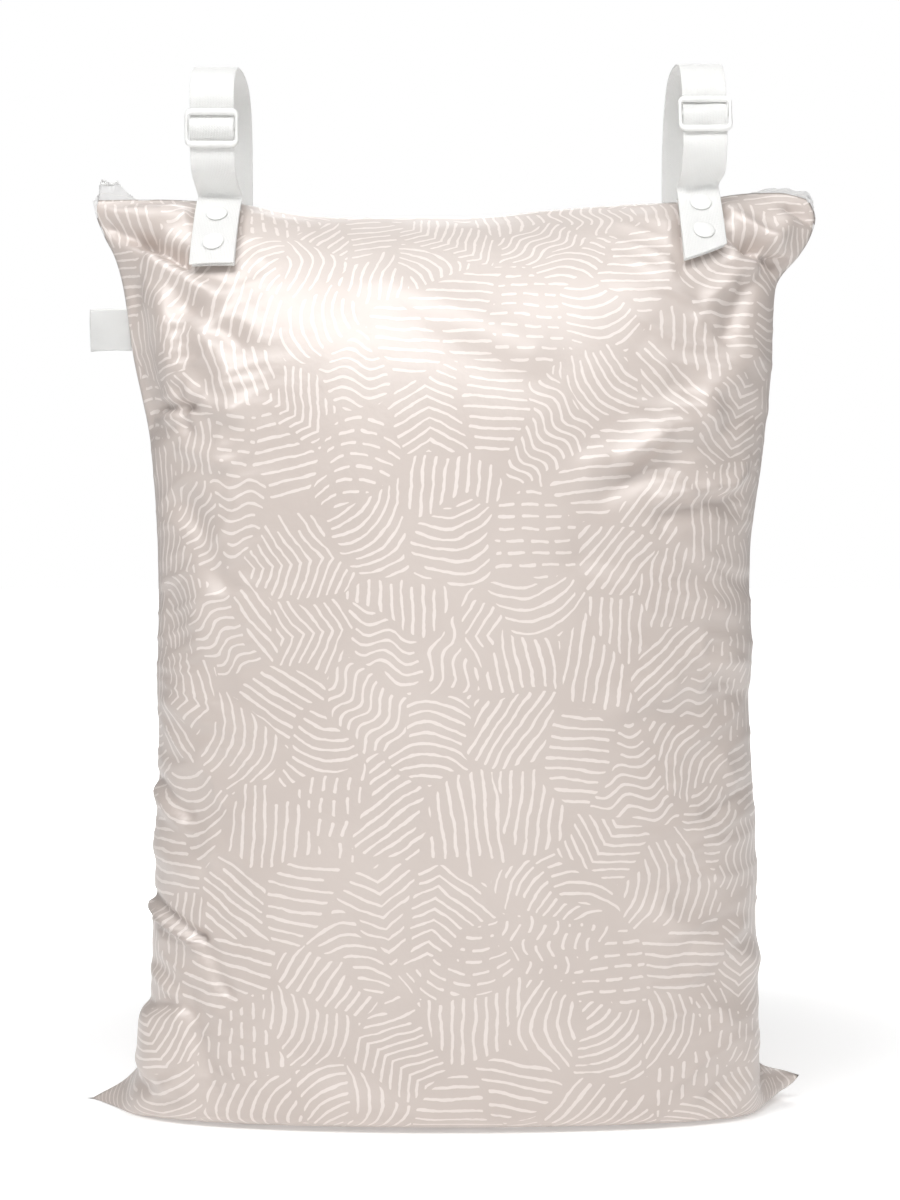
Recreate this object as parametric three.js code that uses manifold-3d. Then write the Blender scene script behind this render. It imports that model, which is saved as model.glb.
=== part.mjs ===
// Cloth wet bag, stuffed and standing upright, with a zip along its top and two strap loops
// that snap down on the front. Millimetres, +Z up, the front faces -Y, the floor is z = 0.
// Two cloth panels are sewn together at the bottom and the sides, in the plane y = 0.

import * as THREE from "three";
import { mergeVertices } from "three/addons/utils/BufferGeometryUtils.js";
import Module from "manifold-3d";

const wasm = await Module();
wasm.setup();

// The stuffed bag
const BAG_WIDTH = 420;
const BAG_HEIGHT = 520;
const BAG_DEPTH = 192;
const BACK_FULLNESS = 0.96;
const CLOTH = 1.5;
const CLEARANCE = 0.3;
const FACET_ALLOWANCE = 0.7;

// The label sewn into the left side seam
const LABEL_REACH = 22;
const LABEL_HEIGHT = 24;
const LABEL_THICKNESS = 1.2;
const LABEL_DROOP = 9;
const LABEL_CURL = 2;
const LABEL_MIDDLE = 0.876;

// The zip, lying on the back slope from the ridge down
const TAPE_WIDTH = 11;
const TAPE_THICKNESS = 1.0;
const COIL_WIDTH = 4.4;
const COIL_THICKNESS = 1.9;
const COIL_GAP = 0.5;
const ZIP_SLIDER = { along: 11, across: 8.5, thick: 3.2, corner: 2 };
const ZIP_PULL = { along: 26, across: 6.5, thick: 1.6, corner: 2.5 };
const ZIP_SLIDER_PLACE = -0.84;

// The webbing straps and the tabs under their ends
const STRAP_WIDTH = 25.4;
const STRAP_THICKNESS = 1.2;
const SNAP_END_LENGTH = 62;
const SNAP_END_BEND = 5;
const SEWN_LENGTH = 28;
const SEWN_FROM_RIDGE = 60;
const LOOP_DEPTH = 76;
const LOOP_CENTRE_Y = 10;
const LIFT_FADE = 12;
const TAB_START = 1.5;
const TAB_INSET = 0.4;

// The plastic strap sliders
const GLIDE_WIDTH = 31;
const GLIDE_HEIGHT = 22.5;
const GLIDE_THICKNESS = 3;
const GLIDE_BAR = 4;
const GLIDE_SIDE_BAR = 2.3;
const GLIDE_CORNER = 4.5;
const GLIDE_CENTRE_BAR = 3.4;
const GLIDE_CENTRE_FACE = 0.6;
const GLIDE_WINDOW_CORNER = 1.2;
const GLIDE_PASS_CLEARANCE = CLEARANCE + 0.1;

// The snaps, each a cap, a socket and a stud
const SNAP_CAP_RADIUS = 6.1;
const SNAP_CAP_RISE = 1.3;
const SNAP_DISC = 0.8;
const SNAP_POST_RADIUS = 2;
const SNAP_SOCKET_RADIUS = 5.4;
const SNAP_HEAD_RADIUS = 2.8;
const SNAP_STUD_RADIUS = 5.7;
const SNAP_HEAD_CHAMFER = 0.4;
const SNAP_HOLE_MARGIN = 0.5;
const SNAP_FROM_END = [14.5, 36.5];
const SNAP_SIDES = 12;

const HALF_WIDTH = BAG_WIDTH / 2;
const HALF_DEPTH = BAG_DEPTH / 2;
const SEAM_GAP = CLEARANCE / 2;
const FRONT = -1;
const BACK = 1;

const table = (columns, rows) =>
  rows.map((row) => Object.fromEntries(columns.map((name, k) => [name, row[k]])));

// Sections from the bottom seam over the floor, up the belly and in to the ridge. left and
// right are the side seams, as shares of half the width. seamLeft, seamRight and middle are
// heights, as shares of the bag's height. out is how far the middle of the panel stands from
// the seam plane, as a share of half the depth. wrap is the turn of the panel from its middle
// to a side seam, in degrees, and square is the power that makes a section fuller as it falls.
const SECTIONS = table(
  ["left", "right", "seamLeft", "seamRight", "middle", "out", "wrap", "square"],
  [
    [1.0, 0.986, 0.008, 0.027, 0.0, 0.0, 78, 0.62],
    [0.957, 0.938, 0.017, 0.033, 0.0, 0.35, 88, 0.58],
    [0.905, 0.886, 0.027, 0.038, 0.0, 0.66, 94, 0.56],
    [0.865, 0.848, 0.046, 0.054, 0.012, 0.865, 99, 0.58],
    [0.842, 0.843, 0.087, 0.087, 0.06, 0.945, 99, 0.62],
    [0.829, 0.855, 0.173, 0.173, 0.163, 0.985, 93, 0.7],
    [0.819, 0.851, 0.308, 0.308, 0.308, 1.0, 90, 0.76],
    [0.813, 0.836, 0.462, 0.462, 0.47, 1.0, 90, 0.8],
    [0.816, 0.838, 0.615, 0.615, 0.625, 0.975, 90, 0.8],
    [0.835, 0.875, 0.74, 0.74, 0.746, 0.91, 88, 0.82],
    [0.885, 0.896, 0.846, 0.846, 0.842, 0.8, 86, 0.74],
    [0.912, 0.908, 0.923, 0.923, 0.915, 0.6, 82, 0.68],
    [0.935, 0.972, 0.956, 0.956, 0.943, 0.46, 79, 0.66],
    [0.962, 1.003, 0.977, 0.977, 0.967, 0.3, 76, 0.66],
    [0.986, 1.019, 1.002, 1.0, 0.987, 0.135, 73, 0.7],
    [0.995, 0.997, 1.019, 1.02, 1.0, 0.0, 72, 0.8],
  ],
);

// The ridge from the left corner to the right one. across runs from -1 to 1, and rise is the
// height over the middle of the ridge, as a share of the bag's height.
const RIDGE = table(
  ["across", "rise"],
  [
    [-1.0, 0.019],
    [-0.84, 0.02],
    [-0.6, 0.0155],
    [-0.45, 0.005],
    [-0.3, 0.0],
    [0.05, 0.0],
    [0.3, 0.009],
    [0.5, 0.0145],
    [0.68, 0.018],
    [0.82, 0.0265],
    [0.92, 0.0275],
    [1.0, 0.02],
  ],
);

// Folds and dents. across and up place the middle of each one, as shares of half the width
// and of the height, turn is its direction in degrees from level, long and wide are its half
// length and half width as shares of half the width, and out is its height over the panel, as
// a share of half the depth, negative for a valley.
const FOLD_COLUMNS = ["across", "up", "turn", "long", "wide", "out"];
const FRONT_FOLDS = table(FOLD_COLUMNS, [
  [-0.85, 0.972, -17, 0.17, 0.042, -0.055],
  [-0.73, 0.945, -30, 0.08, 0.045, -0.05],
  [-0.8, 0.85, 84, 0.2, 0.055, -0.06],
  [-0.62, 0.858, -34, 0.1, 0.05, -0.035],
  [-0.72, 0.777, 20, 0.09, 0.05, -0.045],
  [-0.64, 0.79, 78, 0.09, 0.05, 0.03],
  [-0.65, 0.636, -62, 0.15, 0.055, -0.05],
  [-0.74, 0.366, -50, 0.08, 0.055, 0.035],
  [-0.67, 0.213, -42, 0.19, 0.045, -0.06],
  [-0.79, 0.077, 80, 0.12, 0.07, 0.05],
  [0.5, 0.727, 27, 0.13, 0.05, 0.03],
  [0.48, 0.706, 20, 0.12, 0.05, -0.03],
  [0.65, 0.69, 12, 0.17, 0.05, 0.035],
  [0.73, 0.83, 46, 0.13, 0.06, 0.045],
  [0.62, 0.795, 40, 0.14, 0.05, -0.04],
  [0.87, 0.93, 60, 0.09, 0.05, -0.085],
  [0.9, 0.965, -12, 0.08, 0.04, -0.04],
  [0.68, 0.03, 26, 0.15, 0.045, -0.03],
]);
const BACK_FOLDS = table(FOLD_COLUMNS, [
  [-0.8, 0.9, -30, 0.16, 0.06, -0.06],
  [0.82, 0.88, 35, 0.15, 0.06, -0.06],
  [-0.66, 0.66, -55, 0.16, 0.07, -0.05],
  [0.66, 0.56, 50, 0.18, 0.07, -0.05],
  [-0.7, 0.22, 40, 0.18, 0.065, -0.055],
  [0.68, 0.2, -42, 0.18, 0.065, -0.055],
]);

// The free part of a strap from where it leaves the back panel, over the top and down to the
// front of the ridge. back is the distance behind the middle of the loop, as a share of half
// the loop's depth, and up the height over the ridge, as a share of the loop's height.
const LOOP_PATH = table(
  ["back", "up"],
  [
    [1.02, -0.26],
    [1.05, 0.04],
    [1.06, 0.36],
    [1.02, 0.62],
    [0.92, 0.79],
    [0.71, 0.91],
    [0.39, 0.975],
    [0.0, 1.0],
    [-0.38, 1.0],
    [-0.7, 0.96],
    [-0.9, 0.86],
    [-0.98, 0.71],
    [-1.0, 0.52],
    [-0.97, 0.34],
    [-0.8, 0.18],
  ],
);

// The two straps. front, glideX and back are the middle of the webbing over the bag's front,
// at the slider and at the back, as shares of half the width. top and glide are the heights of
// the loop's top and of the slider's middle over the ridge there, and lift is how far the
// strap stands off the ridge where it bends, as shares of the bag's height. peak narrows the
// loop towards its top, reach is how far down the slope the front end comes, as a share of its
// length, and turn is how far the end is turned on the slope, in degrees.
const STRAPS = table(
  ["name", "front", "glideX", "back", "top", "glide", "lift", "peak", "reach", "turn"],
  [
    ["left", -0.638, -0.65, -0.63, 0.15, 0.074, 0.0, 0.0, 0.97, 5],
    ["right", 0.688, 0.697, 0.672, 0.154, 0.09, 0.016, 0.3, 0.84, 11],
  ],
);

const smoothStep = (t) => {
  const k = Math.min(1, Math.max(0, t));
  return k * k * (3 - 2 * k);
};

// A curve through rows of values that never swings past them (monotone cubic).
function monotone(xs, ys) {
  const n = xs.length;
  const slope = xs.slice(1).map((x, k) => (ys[k + 1] - ys[k]) / (x - xs[k]));
  const tangent = ys.map((_, k) => {
    if (k === 0) return slope[0];
    if (k === n - 1) return slope[n - 2];
    if (slope[k - 1] * slope[k] <= 0) return 0;
    return (2 * slope[k - 1] * slope[k]) / (slope[k - 1] + slope[k]);
  });
  return (x) => {
    let k = 0;
    while (k < n - 2 && x > xs[k + 1]) k += 1;
    const h = xs[k + 1] - xs[k];
    const t = (x - xs[k]) / h;
    const t2 = t * t;
    const t3 = t2 * t;
    return (
      (2 * t3 - 3 * t2 + 1) * ys[k] +
      (t3 - 2 * t2 + t) * h * tangent[k] +
      (3 * t2 - 2 * t3) * ys[k + 1] +
      (t3 - t2) * h * tangent[k + 1]
    );
  };
}

// Each section's place v between the bottom seam (0) and the ridge (1), by length along the
// middle of the panel.
const placeOfSection = (() => {
  const places = [0];
  for (let k = 1; k < SECTIONS.length; k += 1) {
    const rise = (SECTIONS[k].middle - SECTIONS[k - 1].middle) * BAG_HEIGHT;
    const run = (SECTIONS[k].out - SECTIONS[k - 1].out) * HALF_DEPTH;
    places.push(places[k - 1] + Math.hypot(rise, run));
  }
  return places.map((length) => length / places[places.length - 1]);
})();
const column = (name) => monotone(placeOfSection, SECTIONS.map((section) => section[name]));
const sectionColumns = Object.fromEntries(Object.keys(SECTIONS[0]).map((name) => [name, column(name)]));
const ridgeRise = monotone(RIDGE.map((row) => row.across), RIDGE.map((row) => row.rise));

// The base stays flat as far out as FLAT_BASE of the way to a side seam, and the ridge's
// shape fades out over the top part of the bag.
const FLAT_BASE = 0.6;
const RIDGE_FADE = 0.8;

function smoothPoint(side, u, v) {
  const at = (name) => sectionColumns[name](v);
  const left = at("left") * HALF_WIDTH;
  const right = at("right") * HALF_WIDTH;
  const wrap = THREE.MathUtils.degToRad(at("wrap"));
  const share = Math.sin(u * wrap) / Math.sin(wrap);
  const x = (right - left) / 2 + ((right + left) / 2) * share;
  const fall = Math.max(0, (Math.cos(u * wrap) - Math.cos(wrap)) / (1 - Math.cos(wrap)));
  const fullness = side === BACK ? BACK_FULLNESS : 1;
  const y = side * at("out") * HALF_DEPTH * fullness * fall ** at("square");
  const ridge = smoothStep((v - RIDGE_FADE) / (1 - RIDGE_FADE));
  const edge = Math.max(0, (Math.abs(u) - FLAT_BASE) / (1 - FLAT_BASE)) ** 3;
  const seam = at(u < 0 ? "seamLeft" : "seamRight");
  const seamRise = seam - at("middle") - ridge * ridgeRise(Math.sign(u));
  const z = (at("middle") + ridge * ridgeRise(share) + edge * seamRise) * BAG_HEIGHT;
  return new THREE.Vector3(x, y, z);
}

// The direction out of the bag at a point of the smooth panel, by small steps along it.
const STEP = 0.002;
function smoothNormal(side, u, v) {
  const inU = Math.min(1 - STEP, Math.max(STEP - 1, u));
  const inV = Math.min(1 - STEP, Math.max(STEP, v));
  const across = smoothPoint(side, inU + STEP, inV).sub(smoothPoint(side, inU - STEP, inV));
  const up = smoothPoint(side, inU, inV + STEP).sub(smoothPoint(side, inU, inV - STEP));
  return across.cross(up).multiplyScalar(-side).normalize();
}

function foldHeight(side, point) {
  const folds = side === FRONT ? FRONT_FOLDS : BACK_FOLDS;
  let height = 0;
  for (const fold of folds) {
    const turn = THREE.MathUtils.degToRad(fold.turn);
    const dx = point.x - fold.across * HALF_WIDTH;
    const dz = point.z - fold.up * BAG_HEIGHT;
    const along = (dx * Math.cos(turn) + dz * Math.sin(turn)) / (fold.long * HALF_WIDTH);
    const over = (dz * Math.cos(turn) - dx * Math.sin(turn)) / (fold.wide * HALF_WIDTH);
    height += fold.out * HALF_DEPTH * Math.exp(-along * along - over * over);
  }
  return height;
}

// The outside of a panel with its folds, which fade out at the seams and on the floor.
const SEAM_FADE = 0.12;
const BASE_SECTIONS = 3;
function panelPoint(side, u, v) {
  const point = smoothPoint(side, u, v);
  const fade =
    smoothStep((1 - Math.abs(u)) / SEAM_FADE) *
    smoothStep((1 - v) / SEAM_FADE) *
    smoothStep((v - placeOfSection[BASE_SECTIONS]) / SEAM_FADE);
  return point.addScaledVector(smoothNormal(side, u, v), fade * foldHeight(side, point));
}

// A closed body from a grid of points seen from outside, rows going up and columns to the
// right. It reaches out and inward from the grid along its normals, and limit moves the
// finished vertices, which keeps them on their side of the seam plane.
function thickSheet(grid, out, inward, limit = (point) => point) {
  const rows = grid.length;
  const columns = grid[0].length;
  const within = (k, count) => Math.min(count - 1, Math.max(0, k));
  const normalAt = (i, j) => {
    const across = grid[i][within(j + 1, columns)].clone().sub(grid[i][within(j - 1, columns)]);
    const up = grid[within(i + 1, rows)][j].clone().sub(grid[within(i - 1, rows)][j]);
    return across.cross(up).normalize();
  };
  const atCorner = (i, j) => (i === 0 || i === rows - 1) && (j === 0 || j === columns - 1);
  const depth = typeof inward === "function" ? inward : () => inward;
  const positions = [];
  for (const layer of [() => out, (i, j) => -depth(i, j)]) {
    for (let i = 0; i < rows; i += 1) {
      for (let j = 0; j < columns; j += 1) {
        const normal = atCorner(i, j)
          ? normalAt(within(i === 0 ? 1 : i - 1, rows), j)
              .add(normalAt(i, within(j === 0 ? 1 : j - 1, columns)))
              .normalize()
          : normalAt(i, j);
        const point = grid[i][j].clone().addScaledVector(normal, layer(i, j));
        positions.push(...limit(point).toArray());
      }
    }
  }
  const outer = (i, j) => i * columns + j;
  const inner = (i, j) => rows * columns + outer(i, j);
  const top = rows - 1;
  const right = columns - 1;
  const index = [];
  const quad = (a, b, c, d) => index.push(a, b, c, a, c, d);
  for (let i = 0; i < top; i += 1) {
    for (let j = 0; j < right; j += 1) {
      quad(outer(i, j), outer(i, j + 1), outer(i + 1, j + 1), outer(i + 1, j));
      quad(inner(i, j), inner(i + 1, j), inner(i + 1, j + 1), inner(i, j + 1));
    }
  }
  for (let j = 0; j < right; j += 1) {
    quad(outer(0, j), inner(0, j), inner(0, j + 1), outer(0, j + 1));
    quad(outer(top, j), outer(top, j + 1), inner(top, j + 1), inner(top, j));
  }
  for (let i = 0; i < top; i += 1) {
    quad(outer(i, 0), outer(i + 1, 0), inner(i + 1, 0), inner(i, 0));
    quad(outer(i, right), inner(i, right), inner(i + 1, right), outer(i + 1, right));
  }
  const geometry = new THREE.BufferGeometry();
  geometry.setAttribute("position", new THREE.Float32BufferAttribute(positions, 3));
  geometry.setIndex(index);
  return geometry;
}

const grid = (rows, columns, point) =>
  Array.from({ length: rows + 1 }, (_, i) =>
    Array.from({ length: columns + 1 }, (_, j) => point(i / rows, j / columns)),
  );

const solidOf = (geometry) => {
  const bare = new THREE.BufferGeometry();
  bare.setAttribute("position", geometry.getAttribute("position").clone());
  if (geometry.index) bare.setIndex(geometry.index.clone());
  const merged = mergeVertices(bare, 1e-4);
  return new wasm.Manifold(
    new wasm.Mesh({
      numProp: 3,
      vertProperties: new Float32Array(merged.attributes.position.array),
      triVerts: new Uint32Array(merged.index.array),
    }),
  );
};

const geometryOf = (solid) => {
  const mesh = solid.getMesh();
  const geometry = new THREE.BufferGeometry();
  geometry.setAttribute("position", new THREE.Float32BufferAttribute(mesh.vertProperties, 3));
  geometry.setIndex(Array.from(mesh.triVerts));
  return geometry;
};

const inFront = (point) => point.setY(Math.min(point.y, -SEAM_GAP));
const behind = (point) => point.setY(Math.max(point.y, SEAM_GAP));

// The cloth gets thinner in the drawn-out corners, where both layers lie close together.
const CORNER_REACH = 0.12;
const CORNER_RISE = 0.04;
const CORNER_THICKNESS = 0.3;
const clothAt = (u, v) => {
  const toSide = (1 - Math.abs(u)) / CORNER_REACH;
  const toEnd = Math.min(v, 1 - v) / CORNER_RISE;
  return CLOTH * (CORNER_THICKNESS + (1 - CORNER_THICKNESS) * smoothStep(Math.hypot(toSide, toEnd)));
};

// A place on a slope beside the ridge: the distance down from the ridge at a fixed column u.
const SLOPE_STEPS = 60;
const SLOPE_PART = 0.3;
function downSlope(columnPoint, distance) {
  let before = columnPoint(1);
  let passed = 0;
  for (let k = 1; k <= SLOPE_STEPS; k += 1) {
    const v = 1 - (SLOPE_PART * k) / SLOPE_STEPS;
    const point = columnPoint(v);
    const step = point.distanceTo(before);
    if (passed + step >= distance) {
      return v + ((SLOPE_PART / SLOPE_STEPS) * (passed + step - distance)) / step;
    }
    passed += step;
    before = point;
  }
  return 1 - SLOPE_PART;
}

function columnAt(x, v) {
  const left = sectionColumns.left(v) * HALF_WIDTH;
  const right = sectionColumns.right(v) * HALF_WIDTH;
  const wrap = THREE.MathUtils.degToRad(sectionColumns.wrap(v));
  const share = ((x - (right - left) / 2) / ((right + left) / 2)) * Math.sin(wrap);
  return Math.asin(Math.min(1, Math.max(-1, share))) / wrap;
}

// The point over the smooth panel at x, a distance down the slope from the ridge, and its
// normal. Webbing bridges the folds under it.
function onSlope(side, x, distance, height) {
  const v = downSlope((w) => smoothPoint(side, columnAt(x, w), w), distance);
  const u = columnAt(x, v);
  const normal = smoothNormal(side, u, v);
  const point = smoothPoint(side, u, v).addScaledVector(normal, height);
  return { point, normal };
}

// The panels
const FRONT_ROWS = 36;
const FRONT_COLUMNS = 26;
const BACK_ROWS = 24;
const BACK_COLUMNS = 26;

const frontPanel = () =>
  thickSheet(
    grid(FRONT_ROWS, FRONT_COLUMNS, (v, share) => panelPoint(FRONT, 2 * share - 1, v)),
    0,
    (i, j) => clothAt((2 * j) / FRONT_COLUMNS - 1, i / FRONT_ROWS),
    inFront,
  );

const ZIP_WIDTH = 2 * TAPE_WIDTH + COIL_WIDTH + 2 * COIL_GAP + CLEARANCE;
const zipPlace = (u, distance) => downSlope((v) => smoothPoint(BACK, u, v), distance);

const backPanel = () =>
  thickSheet(
    grid(BACK_ROWS, BACK_COLUMNS, (share, across) => {
      const u = 1 - 2 * across;
      return panelPoint(BACK, u, share * zipPlace(u, ZIP_WIDTH));
    }),
    0,
    (i, j) => clothAt(1 - (2 * j) / BACK_COLUMNS, i / BACK_ROWS),
    behind,
  );

// The zip bunches up in both corners, where its ends are caught in the side seams.
const BUNCH_LEFT = { height: 6.5, from: 0.86 };
const BUNCH_RIGHT = { height: 4.5, from: 0.74 };
function bunchAt(u, distance) {
  const bunch = u < 0 ? BUNCH_LEFT : BUNCH_RIGHT;
  const share = (Math.abs(u) - bunch.from) / (1 - bunch.from);
  if (share <= 0) return 0;
  return bunch.height * Math.sin(Math.PI * share) * Math.sin((Math.PI * distance) / ZIP_WIDTH);
}

function zipPoint(u, distance) {
  const v = zipPlace(u, distance);
  const lift = new THREE.Vector3(0, 0, bunchAt(u, distance));
  return smoothPoint(BACK, u, v).add(lift);
}

const zipStrip = (start, width, steps, out, inward) =>
  thickSheet(
    grid(steps, BACK_COLUMNS, (share, across) => zipPoint(1 - 2 * across, start + width * (1 - share))),
    out,
    inward,
    behind,
  );

const COIL_START = TAPE_WIDTH + COIL_GAP;
const BACK_TAPE_START = COIL_START + COIL_WIDTH + COIL_GAP;
const COIL_OUT = COIL_THICKNESS - TAPE_THICKNESS;

// A frame standing on a surface: x along, y across and z out of it.
function standingFrame(point, along, normal) {
  const across = normal.clone().cross(along).normalize();
  const straight = across.clone().cross(normal).normalize();
  return new THREE.Matrix4().makeBasis(straight, across, normal).setPosition(point);
}

const zipFrame = (u) => {
  const middle = COIL_START + COIL_WIDTH / 2;
  const point = zipPoint(u, middle);
  const along = zipPoint(u + STEP, middle).sub(zipPoint(u - STEP, middle)).normalize();
  const down = zipPoint(u, middle + 1).sub(zipPoint(u, middle - 1));
  const normal = down.cross(along).normalize();
  return standingFrame(point, along, normal);
};

const plate = (length, width, thick, corner, holes = []) => {
  const shape = roundedRectangle(length, width, corner, THREE.Shape);
  holes.forEach((hole) => shape.holes.push(hole));
  return new THREE.ExtrudeGeometry(shape, { depth: thick, bevelEnabled: false, curveSegments: 3 });
};

function roundedRectangle(length, width, corner, Kind) {
  const path = new Kind();
  const a = length / 2 - corner;
  const b = width / 2 - corner;
  path.moveTo(-a, -b - corner);
  path.lineTo(a, -b - corner);
  path.absarc(a, -b, corner, -Math.PI / 2, 0, false);
  path.absarc(a, b, corner, 0, Math.PI / 2, false);
  path.absarc(-a, b, corner, Math.PI / 2, Math.PI, false);
  path.absarc(-a, -b, corner, Math.PI, 1.5 * Math.PI, false);
  return path;
}

// The zip's slider and its pull, each lying along the coil at its own place.
const ZIP_SLIDER_AT = ZIP_SLIDER_PLACE * HALF_WIDTH;
const ZIP_PULL_AT = ZIP_SLIDER_AT + (ZIP_SLIDER.along + ZIP_PULL.along) / 2 + 2 * CLEARANCE;
const ZIP_HARDWARE_BASE = COIL_OUT + CLEARANCE + FACET_ALLOWANCE / 2;
const zipSlider = () =>
  plate(ZIP_SLIDER.along, ZIP_SLIDER.across, ZIP_SLIDER.thick, ZIP_SLIDER.corner)
    .translate(0, 0, ZIP_HARDWARE_BASE)
    .applyMatrix4(zipFrame(columnAt(ZIP_SLIDER_AT, 1)));
const zipPull = () =>
  plate(ZIP_PULL.along, ZIP_PULL.across, ZIP_PULL.thick, ZIP_PULL.corner)
    .translate(0, 0, ZIP_HARDWARE_BASE + FACET_ALLOWANCE / 2)
    .applyMatrix4(zipFrame(columnAt(ZIP_PULL_AT, 1)));

// Heights of the stacked pieces over the front panel, each a small gap over the one below
const STACK_GAP = CLEARANCE + FACET_ALLOWANCE / 4;
const STUD_BASE = CLEARANCE + FACET_ALLOWANCE / 2;
const TAB_BASE = STUD_BASE + SNAP_DISC + STACK_GAP;
const SOCKET_BASE = TAB_BASE + STRAP_THICKNESS + STACK_GAP;
const SOCKET_RISE = 1.5;
const STRAP_BASE = SOCKET_BASE + SOCKET_RISE + STACK_GAP;
const CAP_BASE = STRAP_BASE + STRAP_THICKNESS + STACK_GAP;
const HOLE_RADIUS = SNAP_POST_RADIUS + CLEARANCE;

const ridgeAt = (x) => smoothPoint(FRONT, columnAt(x, 1), 1);

// The middle of the strap on the front slope, w to its right and t down from the ridge. Its
// end is turned on the slope. TURN_START is the share of the turn's way that lies before t = 0.
const TURN_START = 0.15;
const RIDGE_MARGIN = 0.2;
function onSnapEnd(strap, w, t, height) {
  const turn = THREE.MathUtils.degToRad(strap.turn) * smoothStep(t / SNAP_END_LENGTH + TURN_START);
  const x = strap.front * HALF_WIDTH + w * Math.cos(turn);
  const distance = Math.max(RIDGE_MARGIN, t - w * Math.sin(turn));
  const lift = strap.lift * BAG_HEIGHT * Math.exp(-t / LIFT_FADE);
  return onSlope(FRONT, x, distance, height + lift);
}

// The strap's free part, where it passes behind the slider's outer bars and over its middle
// one. along is the distance from the slider's middle and in is the distance behind it.
const GLIDE_WINDOW = (GLIDE_HEIGHT - 2 * GLIDE_BAR - GLIDE_CENTRE_BAR) / 2;
const BEHIND_BARS = GLIDE_THICKNESS / 2 + STRAP_THICKNESS / 2 + GLIDE_PASS_CLEARANCE;
const OVER_CENTRE = GLIDE_CENTRE_FACE + CLEARANCE + STRAP_THICKNESS / 2 + GLIDE_PASS_CLEARANCE;
const GLIDE_PASS = table(
  ["along", "behind"],
  [
    [GLIDE_HEIGHT / 2 + 1, BEHIND_BARS],
    [GLIDE_HEIGHT / 2 - GLIDE_BAR + CLEARANCE, BEHIND_BARS],
    [GLIDE_CENTRE_BAR / 2 + GLIDE_WINDOW / 2, (BEHIND_BARS - OVER_CENTRE) / 2],
    [GLIDE_CENTRE_BAR / 2 + CLEARANCE, -OVER_CENTRE],
  ],
);

const LOOP_SAMPLES = 120;
const TANGENT_SAMPLES = 3;
const NARROW_FROM = 0.4;
function loopOf(strap) {
  const ridge = ridgeAt(strap.front * HALF_WIDTH).z;
  const height = strap.top * BAG_HEIGHT - STRAP_THICKNESS;
  const half = LOOP_DEPTH / 2;
  const curve = new THREE.CatmullRomCurve3(
    LOOP_PATH.map((row) => {
      const share = (1 - row.back) / 2;
      const x = THREE.MathUtils.lerp(strap.back, strap.glideX, Math.min(1, share)) * HALF_WIDTH;
      const narrow = 1 - strap.peak * smoothStep((row.up - NARROW_FROM) / (1 - NARROW_FROM));
      return new THREE.Vector3(x, LOOP_CENTRE_Y + row.back * half * narrow, ridge + row.up * height);
    }),
    false,
    "centripetal",
  );
  const samples = curve.getSpacedPoints(LOOP_SAMPLES);
  const glideHeight = ridge + strap.glide * BAG_HEIGHT;
  const front = samples.filter((point) => point.y < LOOP_CENTRE_Y);
  const away = (point) => Math.abs(point.z - glideHeight);
  const centre = front.reduce((best, point) => (away(point) < away(best) ? point : best));
  const middle = samples.indexOf(centre);
  const below = samples[middle + TANGENT_SAMPLES];
  const down = below.clone().sub(samples[middle - TANGENT_SAMPLES]).setX(0).normalize();
  const behindIt = new THREE.Vector3(0, -down.z, down.y).normalize();
  return { samples, middle, centre, down, behindIt };
}

// Rows of three points across a strap, from its sewn end on the back over the loop and the
// slider to its front end.
const ACROSS = [-1, 0, 1];
const SEWN_STEPS = 4;
const LOOP_STEP = 5;
const SNAP_END_STEPS = 9;
const SLIDER_MARGIN = 2;
function strapStations(strap) {
  const loop = loopOf(strap);
  const stations = [];
  const half = STRAP_WIDTH / 2;
  const sewnHeight = CLEARANCE + STRAP_THICKNESS / 2 + FACET_ALLOWANCE;
  for (let k = 0; k <= SEWN_STEPS; k += 1) {
    const distance = SEWN_FROM_RIDGE + SEWN_LENGTH * (1 - k / SEWN_STEPS);
    const sewn = (side) => onSlope(BACK, strap.back * HALF_WIDTH - side * half, distance, sewnHeight);
    stations.push(ACROSS.map((side) => sewn(side).point));
  }
  const reach = GLIDE_PASS[0].along + SLIDER_MARGIN;
  const free = [];
  loop.samples.forEach((point, k) => {
    if (k % LOOP_STEP === 0 && point.distanceTo(loop.centre) > reach) free.push({ k, point });
  });
  const passing = [
    ...GLIDE_PASS.map((row) => [-row.along, row.behind]),
    ...[...GLIDE_PASS].reverse().map((row) => [row.along, row.behind]),
  ].map(([along, back], k) => ({
    k: loop.middle + k / (2 * GLIDE_PASS.length),
    point: loop.centre.clone().addScaledVector(loop.down, along).addScaledVector(loop.behindIt, back),
  }));
  [...free, ...passing]
    .sort((a, b) => a.k - b.k)
    .forEach(({ point }) => {
      stations.push(ACROSS.map((side) => point.clone().add(new THREE.Vector3(-side * half, 0, 0))));
    });
  const snapHeight = STRAP_BASE + STRAP_THICKNESS / 2;
  for (let k = 0; k <= SNAP_END_STEPS; k += 1) {
    const way = strap.reach * SNAP_END_LENGTH - SNAP_END_BEND;
    const t = SNAP_END_BEND + (way * k) / SNAP_END_STEPS;
    stations.push(ACROSS.map((side) => onSnapEnd(strap, -side * half, t, snapHeight).point));
  }
  return stations;
}

const snapFrame = (strap, fromEnd) => {
  const t = strap.reach * SNAP_END_LENGTH - fromEnd;
  const at = (w, down) => onSnapEnd(strap, w, down, 0).point;
  const along = at(0, t - 2).sub(at(0, t + 2)).normalize();
  const across = at(2, t).sub(at(-2, t)).normalize();
  return standingFrame(at(0, t), along, across.cross(along).normalize());
};

const turned = (profile) => {
  const points = profile.map(([radius, height]) => new THREE.Vector2(radius, height));
  return new THREE.LatheGeometry(points, SNAP_SIDES).rotateX(Math.PI / 2);
};

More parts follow.
